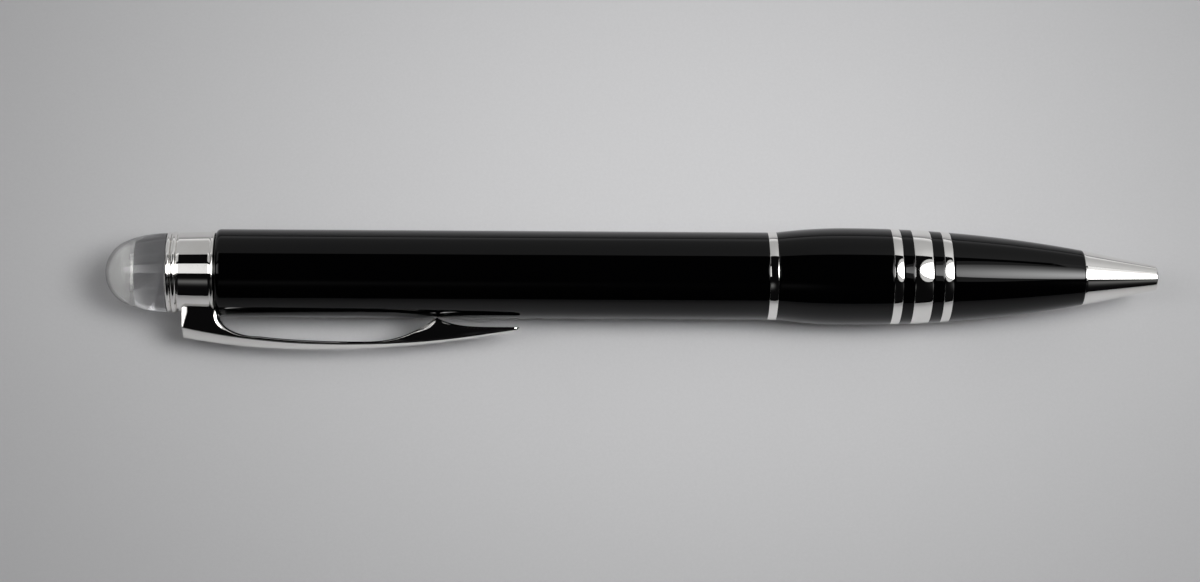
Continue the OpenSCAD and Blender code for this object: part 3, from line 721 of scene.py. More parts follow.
@dataclass
class NoseCone(SubAssembly):
    """Bright cone with a rounded mouth that the writing point slides out of."""

    tip_d: float = 0.2
    tip_r: float = 1.6
    base_r: float = 3.64
    mouth_edge: float = 0.3
    bore_r: float = 1.25
    cavity_r: float = 1.95
    seat_d: float = 4.6
    spigot_r: float = 3.04
    hold: float = 0.4
    edge: float = 0.1

    def build(self) -> None:
        """Spins the cone, with its bore, spring seat and spigot."""
        base_d = self.axis.span("grip_front_shell")[0] - SEAM_SHIFT
        _, end_d = self.axis.span("nose_cone")
        slope = math.atan2(self.base_r - self.tip_r, base_d - self.tip_d)
        mouth_r = self.tip_r + self.mouth_edge * (math.tan(slope) - 1.0 / math.cos(slope))
        side_d = self.tip_d + self.mouth_edge * (1.0 - math.sin(slope))
        side_r = mouth_r + self.mouth_edge * math.cos(slope)
        lathe = Lathe(self.axis, self.tip_d, self.bore_r).line(self.tip_d, mouth_r)
        lathe.arc(side_d, side_r, turn_rise(self.mouth_edge, QUARTER - slope))
        lathe.line(base_d, self.base_r, self.hold).line(base_d, self.spigot_r).line(end_d, self.spigot_r)
        lathe.line(end_d, self.cavity_r).line(self.seat_d, self.cavity_r).line(self.seat_d, self.bore_r)
        self.dress("nose_cone_bright", lathe.turn(self.edge), Slot.CHROME, Body.GRIP, "nose_cone")


@dataclass
class Grip(SubAssembly):
    """Bulged grip: two resin shells, with three bright rings and two spacers between them."""

    front_r: float = 3.64
    bulge_back: float = 9.4
    bulge_r: float = 6.41
    joint_r: float = 5.78
    joint_gap: float = 0.015
    bore_r: float = 3.52
    spigot_bore_r: float = 3.06
    bearing_r: float = 5.06
    bearing_depth: float = 6.0
    ring_tilt_deg: float = 5.0
    ring_lean: float = 0.023
    shell_edge: float = 0.06
    ring_edge: float = 0.04
    front_parts: int = 56
    bulge_parts: int = 20
    rear_parts: int = 34
    ring_parts: int = 14
    spacer_parts: int = 6

    def __post_init__(self) -> None:
        """Reads the places of the shells and rings from the frame."""
        self.slices = ("ring_front", "spacer_front", "ring_wide", "spacer_rear", "ring_rear")
        order = ("grip_front_shell", *self.slices, "grip_rear_shell", "joint_ring")
        self.front_d, *self.stations, self.joint_d = (self.axis.span(node)[0] for node in order)
        self.front_d -= SEAM_SHIFT
        self.spigot_d = self.axis.span("nose_cone")[1]
        self.bulge_d = self.joint_d - self.bulge_back
        self.bearing_d = self.joint_d - self.bearing_depth
        self.front_curve = self._curve(self.bulge_d - self.front_d, self.bulge_r - self.front_r)
        self.rear_curve = self._curve(self.joint_d - self.bulge_d, self.bulge_r - self.joint_r)

    @staticmethod
    def _curve(run: float, drop: float) -> float:
        """Radius of an arc that leaves level and drops so far over a run."""
        return (run * run + drop * drop) / (2.0 * drop)

    def _outline_r(self, d: float) -> float:
        """Distance of the grip's outline from the axis at a place along the pen."""
        radius = self.front_curve if d < self.bulge_d else self.rear_curve
        return self.bulge_r - radius + math.sqrt(radius * radius - (d - self.bulge_d) ** 2)

    def _follow(self, lathe: Lathe, d: float, parts: int) -> None:
        """Draws the outline on to a place on the same side of the bulge, or to the bulge from in front."""
        lathe.bow(d, self._outline_r(d), self.front_curve if d <= self.bulge_d else self.rear_curve, parts)

    def _front_shell(self) -> Mesh:
        """Long front shell, stepped inside for the cone's spigot.

        Returns:
            The finished shape.
        """
        end_d = self.stations[0]
        lathe = Lathe(self.axis, self.front_d, self.spigot_bore_r).line(self.front_d, self.front_r)
        self._follow(lathe, end_d, self.front_parts)
        lathe.line(end_d, self.bore_r).line(self.spigot_d, self.bore_r)
        return lathe.line(self.spigot_d, self.spigot_bore_r).turn(self.shell_edge)

    def _rear_shell(self) -> Mesh:
        """Fattest shell, counterbored to turn on the barrel.

        Returns:
            The finished shape.
        """
        start_d, end_d = self.stations[-1], self.joint_d - self.joint_gap
        lathe = Lathe(self.axis, start_d, self.bore_r).line(start_d, self._outline_r(start_d))
        self._follow(lathe, self.bulge_d, self.bulge_parts)
        self._follow(lathe, end_d, self.rear_parts)
        lathe.line(end_d, self.bearing_r).line(self.bearing_d, self.bearing_r)
        return lathe.line(self.bearing_d, self.bore_r).turn(self.shell_edge)

    def _spacer(self, d0: float, d1: float) -> Mesh:
        """Spacer that follows the outline.

        Args:
            d0: Its front face.
            d1: Its rear face.

        Returns:
            The finished shape.
        """
        lathe = Lathe(self.axis, d0, self.bore_r).line(d0, self._outline_r(d0))
        self._follow(lathe, d1, self.spacer_parts)
        return lathe.line(d1, self.bore_r).turn(self.ring_edge)

    def _ring(self, d0: float, d1: float) -> Mesh:
        """Crowned ring that leans a little to the back.

        Args:
            d0: Its front face.
            d1: Its rear face.

        Returns:
            The finished shape.
        """
        r0, r1 = self._outline_r(d0) - self.ring_lean, self._outline_r(d1) + self.ring_lean
        rise = math.hypot(d1 - d0, r1 - r0) / 2.0 * math.tan(math.radians(self.ring_tilt_deg / 2.0))
        lathe = Lathe(self.axis, d0, self.bore_r).line(d0, r0).arc(d1, r1, rise, self.ring_parts)
        return lathe.line(d1, self.bore_r).turn(self.ring_edge)

    def build(self) -> None:
        """Makes and dresses the seven pieces of the grip."""
        for part, bm in (("front", self._front_shell()), ("rear", self._rear_shell())):
            self.dress(f"grip_{part}_polished", bm, Slot.RESIN, Body.GRIP, f"grip_{part}_shell")
        for node, d0, d1 in zip(self.slices, self.stations, self.stations[1:]):
            ring = node.startswith("ring")
            bm = self._ring(d0, d1) if ring else self._spacer(d0, d1)
            self.dress(f"{node}_polished", bm, Slot.CHROME if ring else Slot.RESIN, Body.GRIP, node)


@dataclass
class Barrel(SubAssembly):
    """Long resin tube and the crowned ring in front of it."""

    radius: float = 5.78
    bore_r: float = 4.98
    rear_round: float = 0.7
    round_parts: int = 14
    hold: float = 0.3
    edge: float = 0.06
    ring_front_r: float = 5.844
    ring_rear_r: float = 5.798
    ring_rise: float = 0.034
    ring_parts: int = 24
    ring_edge: float = 0.02

    def build(self) -> None:
        """Makes and dresses the ring and the tube."""
        ring_d, _ = self.axis.span("joint_ring")
        front_d, rear_d = self.axis.span("barrel_shell")
        ring = Lathe(self.axis, ring_d, self.bore_r).line(ring_d, self.ring_front_r)
        ring.arc(front_d, self.ring_rear_r, self.ring_rise, self.ring_parts).line(front_d, self.bore_r)
        self.dress("joint_ring_bright", ring.turn(self.ring_edge), Slot.CHROME, Body.BARREL, "joint_ring")
        tube = Lathe(self.axis, front_d, self.bore_r).line(front_d, self.radius)
        tube.line(rear_d - self.rear_round, self.radius, self.hold)
        tube.arc(rear_d, self.radius - self.rear_round, turn_rise(self.rear_round, QUARTER), self.round_parts)
        tube.line(rear_d, self.bore_r)
        self.dress("barrel_polished", tube.turn(self.edge), Slot.RESIN, Body.BARREL, "barrel_shell")


@dataclass
class Collar(SubAssembly):
    """Bright band that carries the clip, and the beaded ring under the dome."""

    band_r: float = 5.43
    bore_r: float = 4.42
    bead_r: float = 0.35
    bead_crest: float = 0.08
    front_parts: int = 10
    rear_parts: int = 5
    groove: float = 0.18
    taper: float = 0.13
    hold: float = 0.2
    edge: float = 0.03
    edge_sharp_deg: float = 45.0
    ring_r: float = 5.45
    large_bead_r: float = 0.4
    small_bead_r: float = 0.32

    def __post_init__(self) -> None:
        """Reads the places of the band and the beaded ring from the frame."""
        self.band_d, _ = self.axis.span("clip_band")
        self.ring_d, self.dome_d = self.axis.span("dome_ring")

    def _band(self) -> Mesh:
        """Band with a bead along the barrel and a fine groove along the dome.

        Returns:
            The finished shape.
        """
        centre_r = self.band_r + self.bead_crest - self.bead_r
        low = self.band_r - centre_r
        crest_d = self.band_d + self.bead_r
        bead_end_d = crest_d + math.sqrt(self.bead_r ** 2 - low ** 2)
        groove_d = self.ring_d - self.groove
        end_r = self.band_r - self.taper
        lathe = Lathe(self.axis, self.band_d, self.bore_r).line(self.band_d, centre_r)
        lathe.arc(crest_d, centre_r + self.bead_r, turn_rise(self.bead_r, QUARTER), self.front_parts)
        rise = turn_rise(self.bead_r, math.acos(low / self.bead_r))
        lathe.arc(bead_end_d, self.band_r, rise, self.rear_parts)
        lathe.line(groove_d, end_r, self.hold).line(groove_d, end_r - self.groove)
        lathe.line(self.ring_d, end_r - self.groove).line(self.ring_d, self.bore_r)
        return lathe.turn(self.edge, self.edge_sharp_deg)

    def _dome_ring(self) -> Mesh:
        """Ring of one large and one small bead.

        Returns:
            The finished shape.
        """
        lathe = Lathe(self.axis, self.ring_d, self.bore_r).line(self.ring_d, self.ring_r - self.large_bead_r)
        lathe.bead(self.ring_d + 2.0 * self.large_bead_r, self.large_bead_r)
        return lathe.bead(self.dome_d, self.small_bead_r).line(self.dome_d, self.bore_r).turn()

    def build(self) -> None:
        """Makes and dresses the band and the beaded ring."""
        self.dress("band_bright", self._band(), Slot.CHROME, Body.BARREL, "clip_band")
        self.dress("dome_ring_bright", self._dome_ring(), Slot.CHROME, Body.BARREL, "dome_ring")


@dataclass
class Dome(SubAssembly):
    """Solid clear end of the pen with a plain white disc in it."""

    base_r: float = 5.22
    ball_r: float = 4.5
    spigot_r: float = 2.48
    disc_r: float = 1.7
    disc_edge: float = 0.06
    seat_gap: float = 0.02
    split_gap: float = 0.01
    side_parts: int = 16
    ball_parts: int = 32

    def __post_init__(self) -> None:
        """Reads the places of the dome from the frame and works out where its side meets the ball."""
        self.spigot_d, self.split_d = self.axis.span("dome_base")
        self.base_d = self.axis.span("dome_ring")[1]
        self.disc_d, self.seat_d = self.axis.span("dome_disc")
        self.end_d = self.axis.span("dome_cap")[1]
        ball_h = self.end_d - self.base_d - self.ball_r
        rest = ball_h ** 2 + self.base_r ** 2 - self.ball_r ** 2
        self.side_r = rest / (2.0 * (self.base_r - self.ball_r))
        self.touch = math.atan2(ball_h, self.side_r - self.base_r)

    def _outline_r(self, d: float) -> float:
        """Distance of the bowed side from the axis at a place along the pen."""
        return self.base_r - self.side_r + math.sqrt(self.side_r ** 2 - (d - self.base_d) ** 2)

    def _side(self, lathe: Lathe, d0: float, d1: float) -> None:
        """Draws the bowed side from one place to the next."""
        lathe.line(d0, self._outline_r(d0)).bow(d1, self._outline_r(d1), self.side_r, self.side_parts)

    def _base(self) -> Mesh:
        """Lower half of the clear end, with its spigot.

        Returns:
            The finished shape.
        """
        foot_d = self.base_d + self.seat_gap
        lathe = Lathe(self.axis, self.spigot_d, 0.0).line(self.spigot_d, self.spigot_r)
        self._side(lathe.line(foot_d, self.spigot_r), foot_d, self.split_d)
        return lathe.line(self.split_d, 0.0).turn()

    def _cap(self) -> Mesh:
        """Upper half of the clear end, with a recess for the disc.

        Returns:
            The finished shape.
        """
        recess_d, recess_r = self.seat_d + self.seat_gap, self.disc_r + self.seat_gap
        foot_d = self.split_d + self.split_gap
        lathe = Lathe(self.axis, recess_d, 0.0).line(recess_d, recess_r).line(foot_d, recess_r)
        self._side(lathe, foot_d, self.base_d + self.side_r * math.sin(self.touch))
        rise = turn_rise(self.ball_r, QUARTER - self.touch)
        return lathe.arc(self.end_d, 0.0, rise, self.ball_parts).turn()

    def _disc(self) -> Mesh:
        """Thin plain disc with rounded edges."""
        lathe = Lathe(self.axis, self.disc_d, 0.0).line(self.disc_d, self.disc_r)
        return lathe.line(self.seat_d, self.disc_r).line(self.seat_d, 0.0).turn(self.disc_edge)

    def build(self) -> None:
        """Makes and dresses the two clear halves and the disc between them."""
        # The base half takes the darker copy, painted shade; the cap takes the milky resin, painted light.
        halves = (("dome_base", self._base(), self.finishes.shaded_clear_resin), ("dome_cap", self._cap(), None))
        for node, bm, finish in halves:
            clear = self.dress(f"{node}_clear", bm, Slot.CLEAR, Body.BARREL, node, finish)
            clear.visible_shadow = False
        self.dress("disc_white", self._disc(), Slot.DISC, Body.BARREL, "dome_disc")


class Spacing(Enum):
    """How the sections of a stretch are spaced."""

    EVEN = "even"
    CLOSE_FIRST = "closer at the first end"
    CLOSE_LAST = "closer at the last end"

    def part(self, count: float) -> float:
        """Part of the stretch that lies behind when this part of the sections is done."""
        eased = {Spacing.CLOSE_FIRST: count ** 2, Spacing.CLOSE_LAST: math.sin(QUARTER * count)}
        return eased.get(self, count)


@dataclass
class PocketClip(SubAssembly):
    """Sculpted clip: crowned back, thin hollow arm, a bump that grips the cloth and a lifted tail."""

    barrel_r: float = 5.78
    foot: float = 4.15
    rise: float = 4.28
    crest_back: float = 16.7
    foot_curve: float = 95.0
    tip_curve: float = 145.0
    arm: float = 0.76
    arm_foot: float = 1.3
    sweep: float = 5.2
    sweep_gap: float = 1.0
    sweep_lift: float = 0.15
    bump_back: float = 10.9
    bump_gap: float = 0.1
    ramp: float = 8.8
    ramp_power: float = 2.3
    ramp_bevel: float = 0.55
    ramp_bevel_power: int = 4
    ramp_crispness: float = 0.85
    ramp_tilt: float = 0.577
    tail_lift: float = 1.2
    tail_power: float = 5.0
    foot_width: float = 4.6
    tip_width: float = 2.3
    tip_round: float = 0.7
    tip_narrowing: float = 0.7
    crown: float = 1.1
    draft: float = 0.12
    saddle_r: float = 5.555
    saddle_step: float = 0.09
    saddle_step_length: float = 0.8
    saddle_fall: float = 0.12
    tail_edge: float = 0.12
    bump_edge: float = 0.6
    arm_edge: float = 0.35
    sweep_edge: float = 0.9
    heel_bevel: float = 0.8
    heel_depth: float = 0.2
    heel_lean: float = 0.2
    outer_edge_heel: float = 0.14
    outer_edge_tip: float = 0.5
    end_edge: float = 0.08
    sharp_deg: float = 50.0
    slope_step: float = 0.01
    inner_points: int = 9
    side_points: int = 16
    corner_points: int = 5
    crown_points: int = 13
    tail_steps: int = 22
    ramp_steps: int = 26
    arm_steps: int = 14
    sweep_steps: int = 30
    gap_steps: int = 6
    foot_steps: int = 24

    def __post_init__(self) -> None:
        """Works out the places along the pen that the forms hang on."""
        self.tip_d, self.heel_d = self.axis.span("clip")
        self.front_d = self.heel_d - self.foot
        self.crest_d = self.heel_d - self.crest_back
        self.crest_r = self.barrel_r + self.rise
        self.bump_d = self.tip_d + self.bump_back
        self.bump_r = self.barrel_r + self.bump_gap
        self.ramp_d = self.bump_d + self.ramp
        self.sweep_end_d = self.front_d - self.sweep_gap + self.sweep_lift
        self.sweep_d = self.sweep_end_d - self.sweep
        self.sweep_r = self.barrel_r + self.sweep_lift
        self.saddle_d = self.front_d + self.saddle_step_length
        self.flat_d = self.bump_d - self.bump_back / 2.0
        self.bump_depth = self._back_r(self.bump_d) - self.arm - self.bump_r
        self.sweep_height = self._arm_r(self.sweep_d) - self.sweep_r

    @staticmethod
    def _drop(radius: float, t: float) -> float:
        """How far a rounding takes a face back at the distance t from its edge."""
        return radius - math.sqrt(radius ** 2 - (radius - max(t, 0.0)) ** 2) if t < radius else 0.0

    def _back_r(self, d: float) -> float:
        """Crest line of the back."""
        curve = self.foot_curve if d > self.crest_d else self.tip_curve
        return self.crest_r - curve + math.sqrt(curve * curve - (d - self.crest_d) ** 2)

    def _half_width(self, d: float) -> float:
        """Half of the width, before draft and edges: a taper with a rounded tip.

        Args:
            d: Place along the pen.

        Returns:
            Half of the width there.
        """
        wide = between(self.tip_width, self.foot_width, share(self.tip_d, self.heel_d, d))
        at_tip = 1.0 - share(self.tip_d, self.tip_d + self.tip_round, d)
        return wide / 2.0 * math.sqrt(1.0 - self.tip_narrowing * at_tip ** 2)

    def _arm_r(self, d: float) -> float:
        """Underside of the free arm, which runs down into the bump.

        Args:
            d: Place along the pen.

        Returns:
            Its distance from the pen's axis.
        """
        thick = between(self.arm, self.arm_foot, share(self.ramp_d, self.sweep_d, d))
        thick += self.bump_depth * share(self.ramp_d, self.bump_d, d) ** self.ramp_power
        return self._back_r(d) - thick

    def _inner_r(self, d: float) -> float:
        """Underside of the clip in front of its foot.

        Args:
            d: Place along the pen.

        Returns:
            Its distance from the pen's axis.
        """
        if d >= self.sweep_end_d:
            return self.sweep_r
        if d > self.sweep_d:
            bend = math.sqrt(max(0.0, 1.0 - ((d - self.sweep_d) / self.sweep) ** 2))
            return self.sweep_r + self.sweep_height * bend
        if d >= self.bump_d:
            return self._arm_r(d)
        return self.bump_r + self.tail_lift * (1.0 - share(self.tip_d, self.bump_d, d) ** self.tail_power)

    def _saddle_r(self, d: float) -> float:
        """Radius of the saddle on the band: a short step, and then the band's own taper."""
        fall = self.saddle_fall * share(self.saddle_d, self.heel_d, d)
        return self.saddle_r - self.saddle_step * share(self.front_d, self.saddle_d, d) - fall

    def _face_r(self, d: float, s: float) -> float:
        """Inner face at the distance s from the clip's middle; it runs into the saddle."""
        saddle = math.sqrt(self._saddle_r(d) ** 2 - s * s)
        return between(self._inner_r(d), saddle, share(self.sweep_end_d, self.front_d, d))

    def _edge_distance(self, d: float, r: float) -> float:
        """How far a point of the side face is from the edge of the underside.

        Args:
            d: Place along the pen.
            r: Distance from the pen's axis.

        Returns:
            The distance, square to the edge.
        """
        if d <= self.sweep_d:
            step = self.slope_step
            slope = (self._inner_r(d + step) - self._inner_r(d - step)) / (2.0 * step)
            return (r - self._inner_r(d)) * math.cos(math.atan(slope))
        u, v = (d - self.sweep_d) / self.sweep, (r - self.sweep_r) / self.sweep_height
        q = math.hypot(u, v)
        return (q - 1.0) * q / math.hypot(u / self.sweep, v / self.sweep_height)

    def _on_ramp(self, d: float) -> float:
        """How much of its full width the ramp's bevel has at a place along the pen."""
        along = share(self.ramp_d, self.bump_d, d) ** self.ramp_bevel_power
        return math.sin(math.pi * along) if d > self.bump_d else 0.0

    def _edge_radius(self, d: float, r: float) -> float:
        """Rounding of the inner edge next to a point of the side face.

        Args:
            d: Place along the pen.
            r: Distance from the pen's axis.

        Returns:
            The radius of the rounding.
        """
        if d > self.sweep_d:
            down = share(self.sweep_r + self.sweep_height, self.sweep_r, r)
            radius = between(self.arm_edge, self.sweep_edge, math.sqrt(down))
        elif d > self.bump_d:
            radius = between(self.arm_edge, self.bump_edge, share(self.ramp_d, self.bump_d, d))
        else:
            radius = between(self.tail_edge, self.bump_edge, share(self.tip_d, self.bump_d, d))
        return radius * (1.0 - self.ramp_crispness * self._on_ramp(d))

    def _side(self, d: float, r: float) -> float:
        """Side face, with its rounded inner edge, the ramp's bevel and the hollow-ground heel.

        Args:
            d: Place along the pen.
            r: Distance from the pen's axis.

        Returns:
            Half of the width there.
        """
        low = share(self._back_r(self.heel_d) - self.crown, self.saddle_r, r)
        bevel = self.heel_bevel * low
        heel = self.heel_depth * low * max(0.0, 1.0 - (self.heel_d - d) / bevel) ** 2 if bevel > 0.0 else 0.0
        away = self._edge_distance(d, r)
        ramp = self.ramp_tilt * (self.ramp_bevel * self._on_ramp(d) - away)
        wide = self._half_width(d) - self.draft * (r - self.saddle_r)
        return wide - max(self._drop(self._edge_radius(d, r), away), heel, ramp)

    def _section(self, d: float) -> list[tuple[float, float]]:
        """Closed section at one place along the pen.

        Args:
            d: Place along the pen.

        Returns:
            Points as distance from the pen's axis and distance from the clip's middle.
        """
        crown = self.crown * share(self.flat_d, self.heel_d, d)
        edge_r = self._back_r(d) - crown
        flat = self._side(d, self._face_r(d, self._half_width(d)))
        low = self._face_r(d, flat)
        half = self._side(d, edge_r)
        slope = math.atan2(2.0 * crown, half)
        turn = math.tan((QUARTER - slope) / 2.0)
        outer = between(self.outer_edge_heel, self.outer_edge_tip, share(self.heel_d, self.bump_d, d))
        outer = min(outer, 0.5 * (edge_r - low) / turn)
        setback = outer * turn
        shoulder = half - setback * math.cos(slope)
        inside = [flat * (1.0 - 2.0 * i / (self.inner_points - 1)) for i in range(self.inner_points)]
        rows = [between(low, edge_r - setback, ((i + 1) / (self.side_points + 1)) ** 2)
                for i in range(self.side_points)]
        side = [(r, min(half + self.draft * (edge_r - r), self._side(d, r))) for r in rows]
        side += [(edge_r - setback + outer * math.sin(a), half - outer * (1.0 - math.cos(a)))
                 for a in ((QUARTER - slope) * i / self.corner_points for i in range(self.corner_points))]
        across = [shoulder * (2.0 * i / (self.crown_points - 1) - 1.0) for i in range(self.crown_points)]
        return ([(self._face_r(d, s), s) for s in inside] + [(r, -s) for r, s in side]
                + [(edge_r + crown * (1.0 - (s / half) ** 2), s) for s in across] + side[::-1])

    def _stations(self) -> list[float]:
        """Places of the sections.

        Returns:
            Places along the pen, closer together where the outline bends.
        """
        stretches = (
            (self.tip_d, self.bump_d, self.tail_steps, Spacing.CLOSE_FIRST),
            (self.bump_d, self.ramp_d, self.ramp_steps, Spacing.EVEN),
            (self.ramp_d, self.sweep_d, self.arm_steps, Spacing.EVEN),
            (self.sweep_d, self.sweep_end_d, self.sweep_steps, Spacing.CLOSE_LAST),
            (self.sweep_end_d, self.front_d, self.gap_steps, Spacing.EVEN),
            (self.front_d, self.heel_d, self.foot_steps, Spacing.CLOSE_LAST),
        )
        return [between(start, end, spacing.part(i / steps))
                for start, end, steps, spacing in stretches for i in range(steps)] + [self.heel_d]

    def _lean(self, d: float, r: float) -> float:
        """How far the heel leans forward at a distance from the pen's axis."""
        upright = share(self.saddle_r, self._back_r(self.heel_d), r)
        return self.heel_lean * share(self.front_d, self.heel_d, d) ** 2 * upright

    def _mesh(self) -> Mesh:
        """Drags a ring along the clip and shapes each copy to its section.

        Returns:
            The finished shape in its place on the pen.
        """
        stations = self._stations()
        sections = [self._section(d) for d in stations]
        count = len(sections[0])
        bm = bmesh.new()
        bmesh.ops.create_circle(bm, cap_ends=False, segments=count, radius=1.0,
                                matrix=Matrix.Rotation(QUARTER, 4, "Y"))
        bmesh.ops.spin(bm, geom=bm.verts[:] + bm.edges[:], cent=ORIGIN, axis=ALONG, dvec=ALONG, angle=0.0,
                       steps=len(stations) - 1)
        bmesh.ops.holes_fill(bm, edges=bm.edges[:], sides=0)
        for vert in bm.verts:
            row = round(vert.co.x)
            column = round(math.atan2(vert.co.y, vert.co.z) / math.tau * count) % count
            r, s = sections[row][column]
            d = stations[row]
            vert.co = (self.axis.x(d - self._lean(d, r)), -r * MM, s * MM)
        bmesh.ops.recalc_face_normals(bm, faces=bm.faces[:])
        ends = [e for e in bm.edges if any(len(f.verts) > 4 for f in e.link_faces)]
        round_edges(bm, ends, self.end_edge)
        bmesh.ops.rotate(bm, verts=bm.verts[:], cent=ORIGIN, matrix=Matrix.Rotation(self.axis.roll, 3, "X"))
        self.axis.set_in_place(bm)
        return bm

    def build(self) -> None:
        """Makes and dresses the clip."""
        self.dress("clip_sculpted", self._mesh(), Slot.CHROME, Body.CLIP, "clip", sharp_deg=self.sharp_deg)


@dataclass
class WritingPoint(SubAssembly):
    """Turned point of the refill with its ball, and the spring round it."""

    shank_r: float = 1.15
    taper: float = 2.6
    taper_hold: float = 0.1
    shank_hold: float = 0.2
    edge: float = 0.03
    ball_r: float = 0.5
    ball_show: float = 0.3
    ball_segments: int = 32
    ball_rings: int = 20
    socket_wall: float = 0.08
    stub_r: float = 0.56
    stub: float = 5.0
    spring_r: float = 1.55
    wire: float = 0.36
    wire_segments: int = 12
    turns: int = 6
    turn_steps: int = 36
    seat_d: float = 4.6

    def __post_init__(self) -> None:
        """Reads the places of the ball and the neck from the frame."""
        self.tip_d, _ = self.axis.span("writing_ball")
        self.neck_d, _ = self.axis.span("refill_tube")

    def _point(self) -> Mesh:
        """Straight shank, a short taper and a stub in the neck.

        Returns:
            The finished shape.
        """
        lip_d, stub_d = self.tip_d + self.ball_show, self.neck_d + self.stub
        lathe = Lathe(self.axis, lip_d + self.ball_r, 0.0).line(lip_d, self.ball_r)
        lathe.line(lip_d, self.ball_r + self.socket_wall)
        lathe.line(self.tip_d + self.taper, self.shank_r, self.taper_hold)
        lathe.line(self.neck_d, self.shank_r, self.shank_hold).line(self.neck_d, self.stub_r)
        return lathe.line(stub_d, self.stub_r).line(stub_d, 0.0).turn(self.edge)

    def _ball(self) -> Mesh:
        """Ball in the end of the point.

        Returns:
            The finished shape.
        """
        bm = bmesh.new()
        bmesh.ops.create_uvsphere(bm, u_segments=self.ball_segments, v_segments=self.ball_rings,
                                  radius=self.ball_r * MM)
        bmesh.ops.translate(bm, verts=bm.verts[:], vec=(self.axis.x(self.tip_d + self.ball_r), 0.0, 0.0))
        self.axis.set_in_place(bm)
        return bm

    def _spring(self) -> Mesh:
        """Open coil, spun from a round wire with a steady climb.

        Returns:
            The finished shape.
        """
        steps = self.turn_steps * self.turns
        low = self.seat_d + self.wire
        climb = (self.neck_d - self.wire - low) / steps
        bm = bmesh.new()
        bmesh.ops.create_circle(bm, cap_ends=True, segments=self.wire_segments, radius=self.wire / 2.0 * MM,
                                matrix=Matrix.Rotation(QUARTER, 4, "X"))
        bmesh.ops.translate(bm, verts=bm.verts[:], vec=(self.axis.x(low), 0.0, self.spring_r * MM))
        bmesh.ops.spin(bm, geom=bm.faces[:], cent=ORIGIN, axis=ALONG, dvec=(-climb * MM, 0.0, 0.0),
                       angle=math.tau * self.turns, steps=steps)
        mend(bm)
        self.axis.set_in_place(bm)
        return bm

    def build(self) -> None:
        """Makes and dresses the point, the ball and the spring."""
        self.dress("point_turned", self._point(), Slot.BRASS, Body.REFILL, "refill_point")
        self.dress("ball_ground", self._ball(), Slot.STEEL, Body.REFILL, "writing_ball")
        spring = self.dress("spring_coiled", self._spring(), Slot.STEEL, Body.GRIP, "return_spring")
        self.axis.x(self.seat_d)
        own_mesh(spring)


class InnerWorks(SubAssembly):
    """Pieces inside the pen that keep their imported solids."""

    SLOTS = {
        Slot.BRASS: ("grip_liner", "barrel_liner", "cam_sleeve"),
        Slot.STEEL: ("guide_tube", "retaining_ring", "thrust_washer", "top_bush", "plunger", "cross_pin"),
        Slot.RUBBER: ("turning_seal", "refill_end_plug"),
        Slot.INK_TUBE: ("refill_tube",),
    }

    def build(self) -> None:
        """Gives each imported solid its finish."""
        for slot, nodes in self.SLOTS.items():
            for node in nodes:
                slots = frame["nodes"][node].data.materials
                slots.clear()
                slots.append(self.finishes.of[slot])
                log.info("%s keeps its solid, in %s", node, slot.value)


DOWN = (0.0, 0.0, -1.0)
BACKWARD = (0.0, 1.0, 0.0)
FORWARD = (0.0, -1.0, 0.0)


class LightShape(str, Enum):
    """Outline of a studio light."""

    BOX = "RECTANGLE"
    ROUND = "ELLIPSE"


@dataclass(frozen=True)
class HotSpot:
    """Place where a light is brighter: its middle, its reach and the radiance that it adds."""

    middle: Triple
    reach: Triple
    radiance: float


@dataclass(frozen=True)
class SoftBox:
    """Flat studio light, given by its middle, its size and what it faces."""

    name: str
    centre: Triple
    size: tuple[float, float]
    facing: Triple
    radiance: float
    spot: HotSpot | None = None
    shape: LightShape = LightShape.BOX

    def build(self) -> None:
        """Adds the light, with the power that its area calls for and its radiance as strength."""
        lamp = bpy.data.lights.new(self.name, "AREA")
        lamp.shape = self.shape.value
        lamp.size, lamp.size_y = self.size
        filled = math.pi / 4.0 if self.shape is LightShape.ROUND else 1.0
        lamp.energy = math.pi * lamp.size * lamp.size_y * filled
        lamp.use_nodes = True
        graph = Graph(lamp.node_tree)
        strength = self.radiance
        if self.spot:
            place = graph.add("NewGeometry").outputs["Position"]
            glow = graph.fall_off(place, self.spot.middle, self.spot.reach)
            strength = graph.math("MULTIPLY_ADD", glow, self.spot.radiance, self.radiance)
        graph.fill(graph.find("EMISSION"), {"Strength": strength})
        holder = bpy.data.objects.new(self.name, lamp)
        holder.location = self.centre
        holder.rotation_euler = Vector(self.facing).to_track_quat("-Z", "Y").to_euler()
        holder.visible_camera = False
        bpy.context.scene.collection.objects.link(holder)


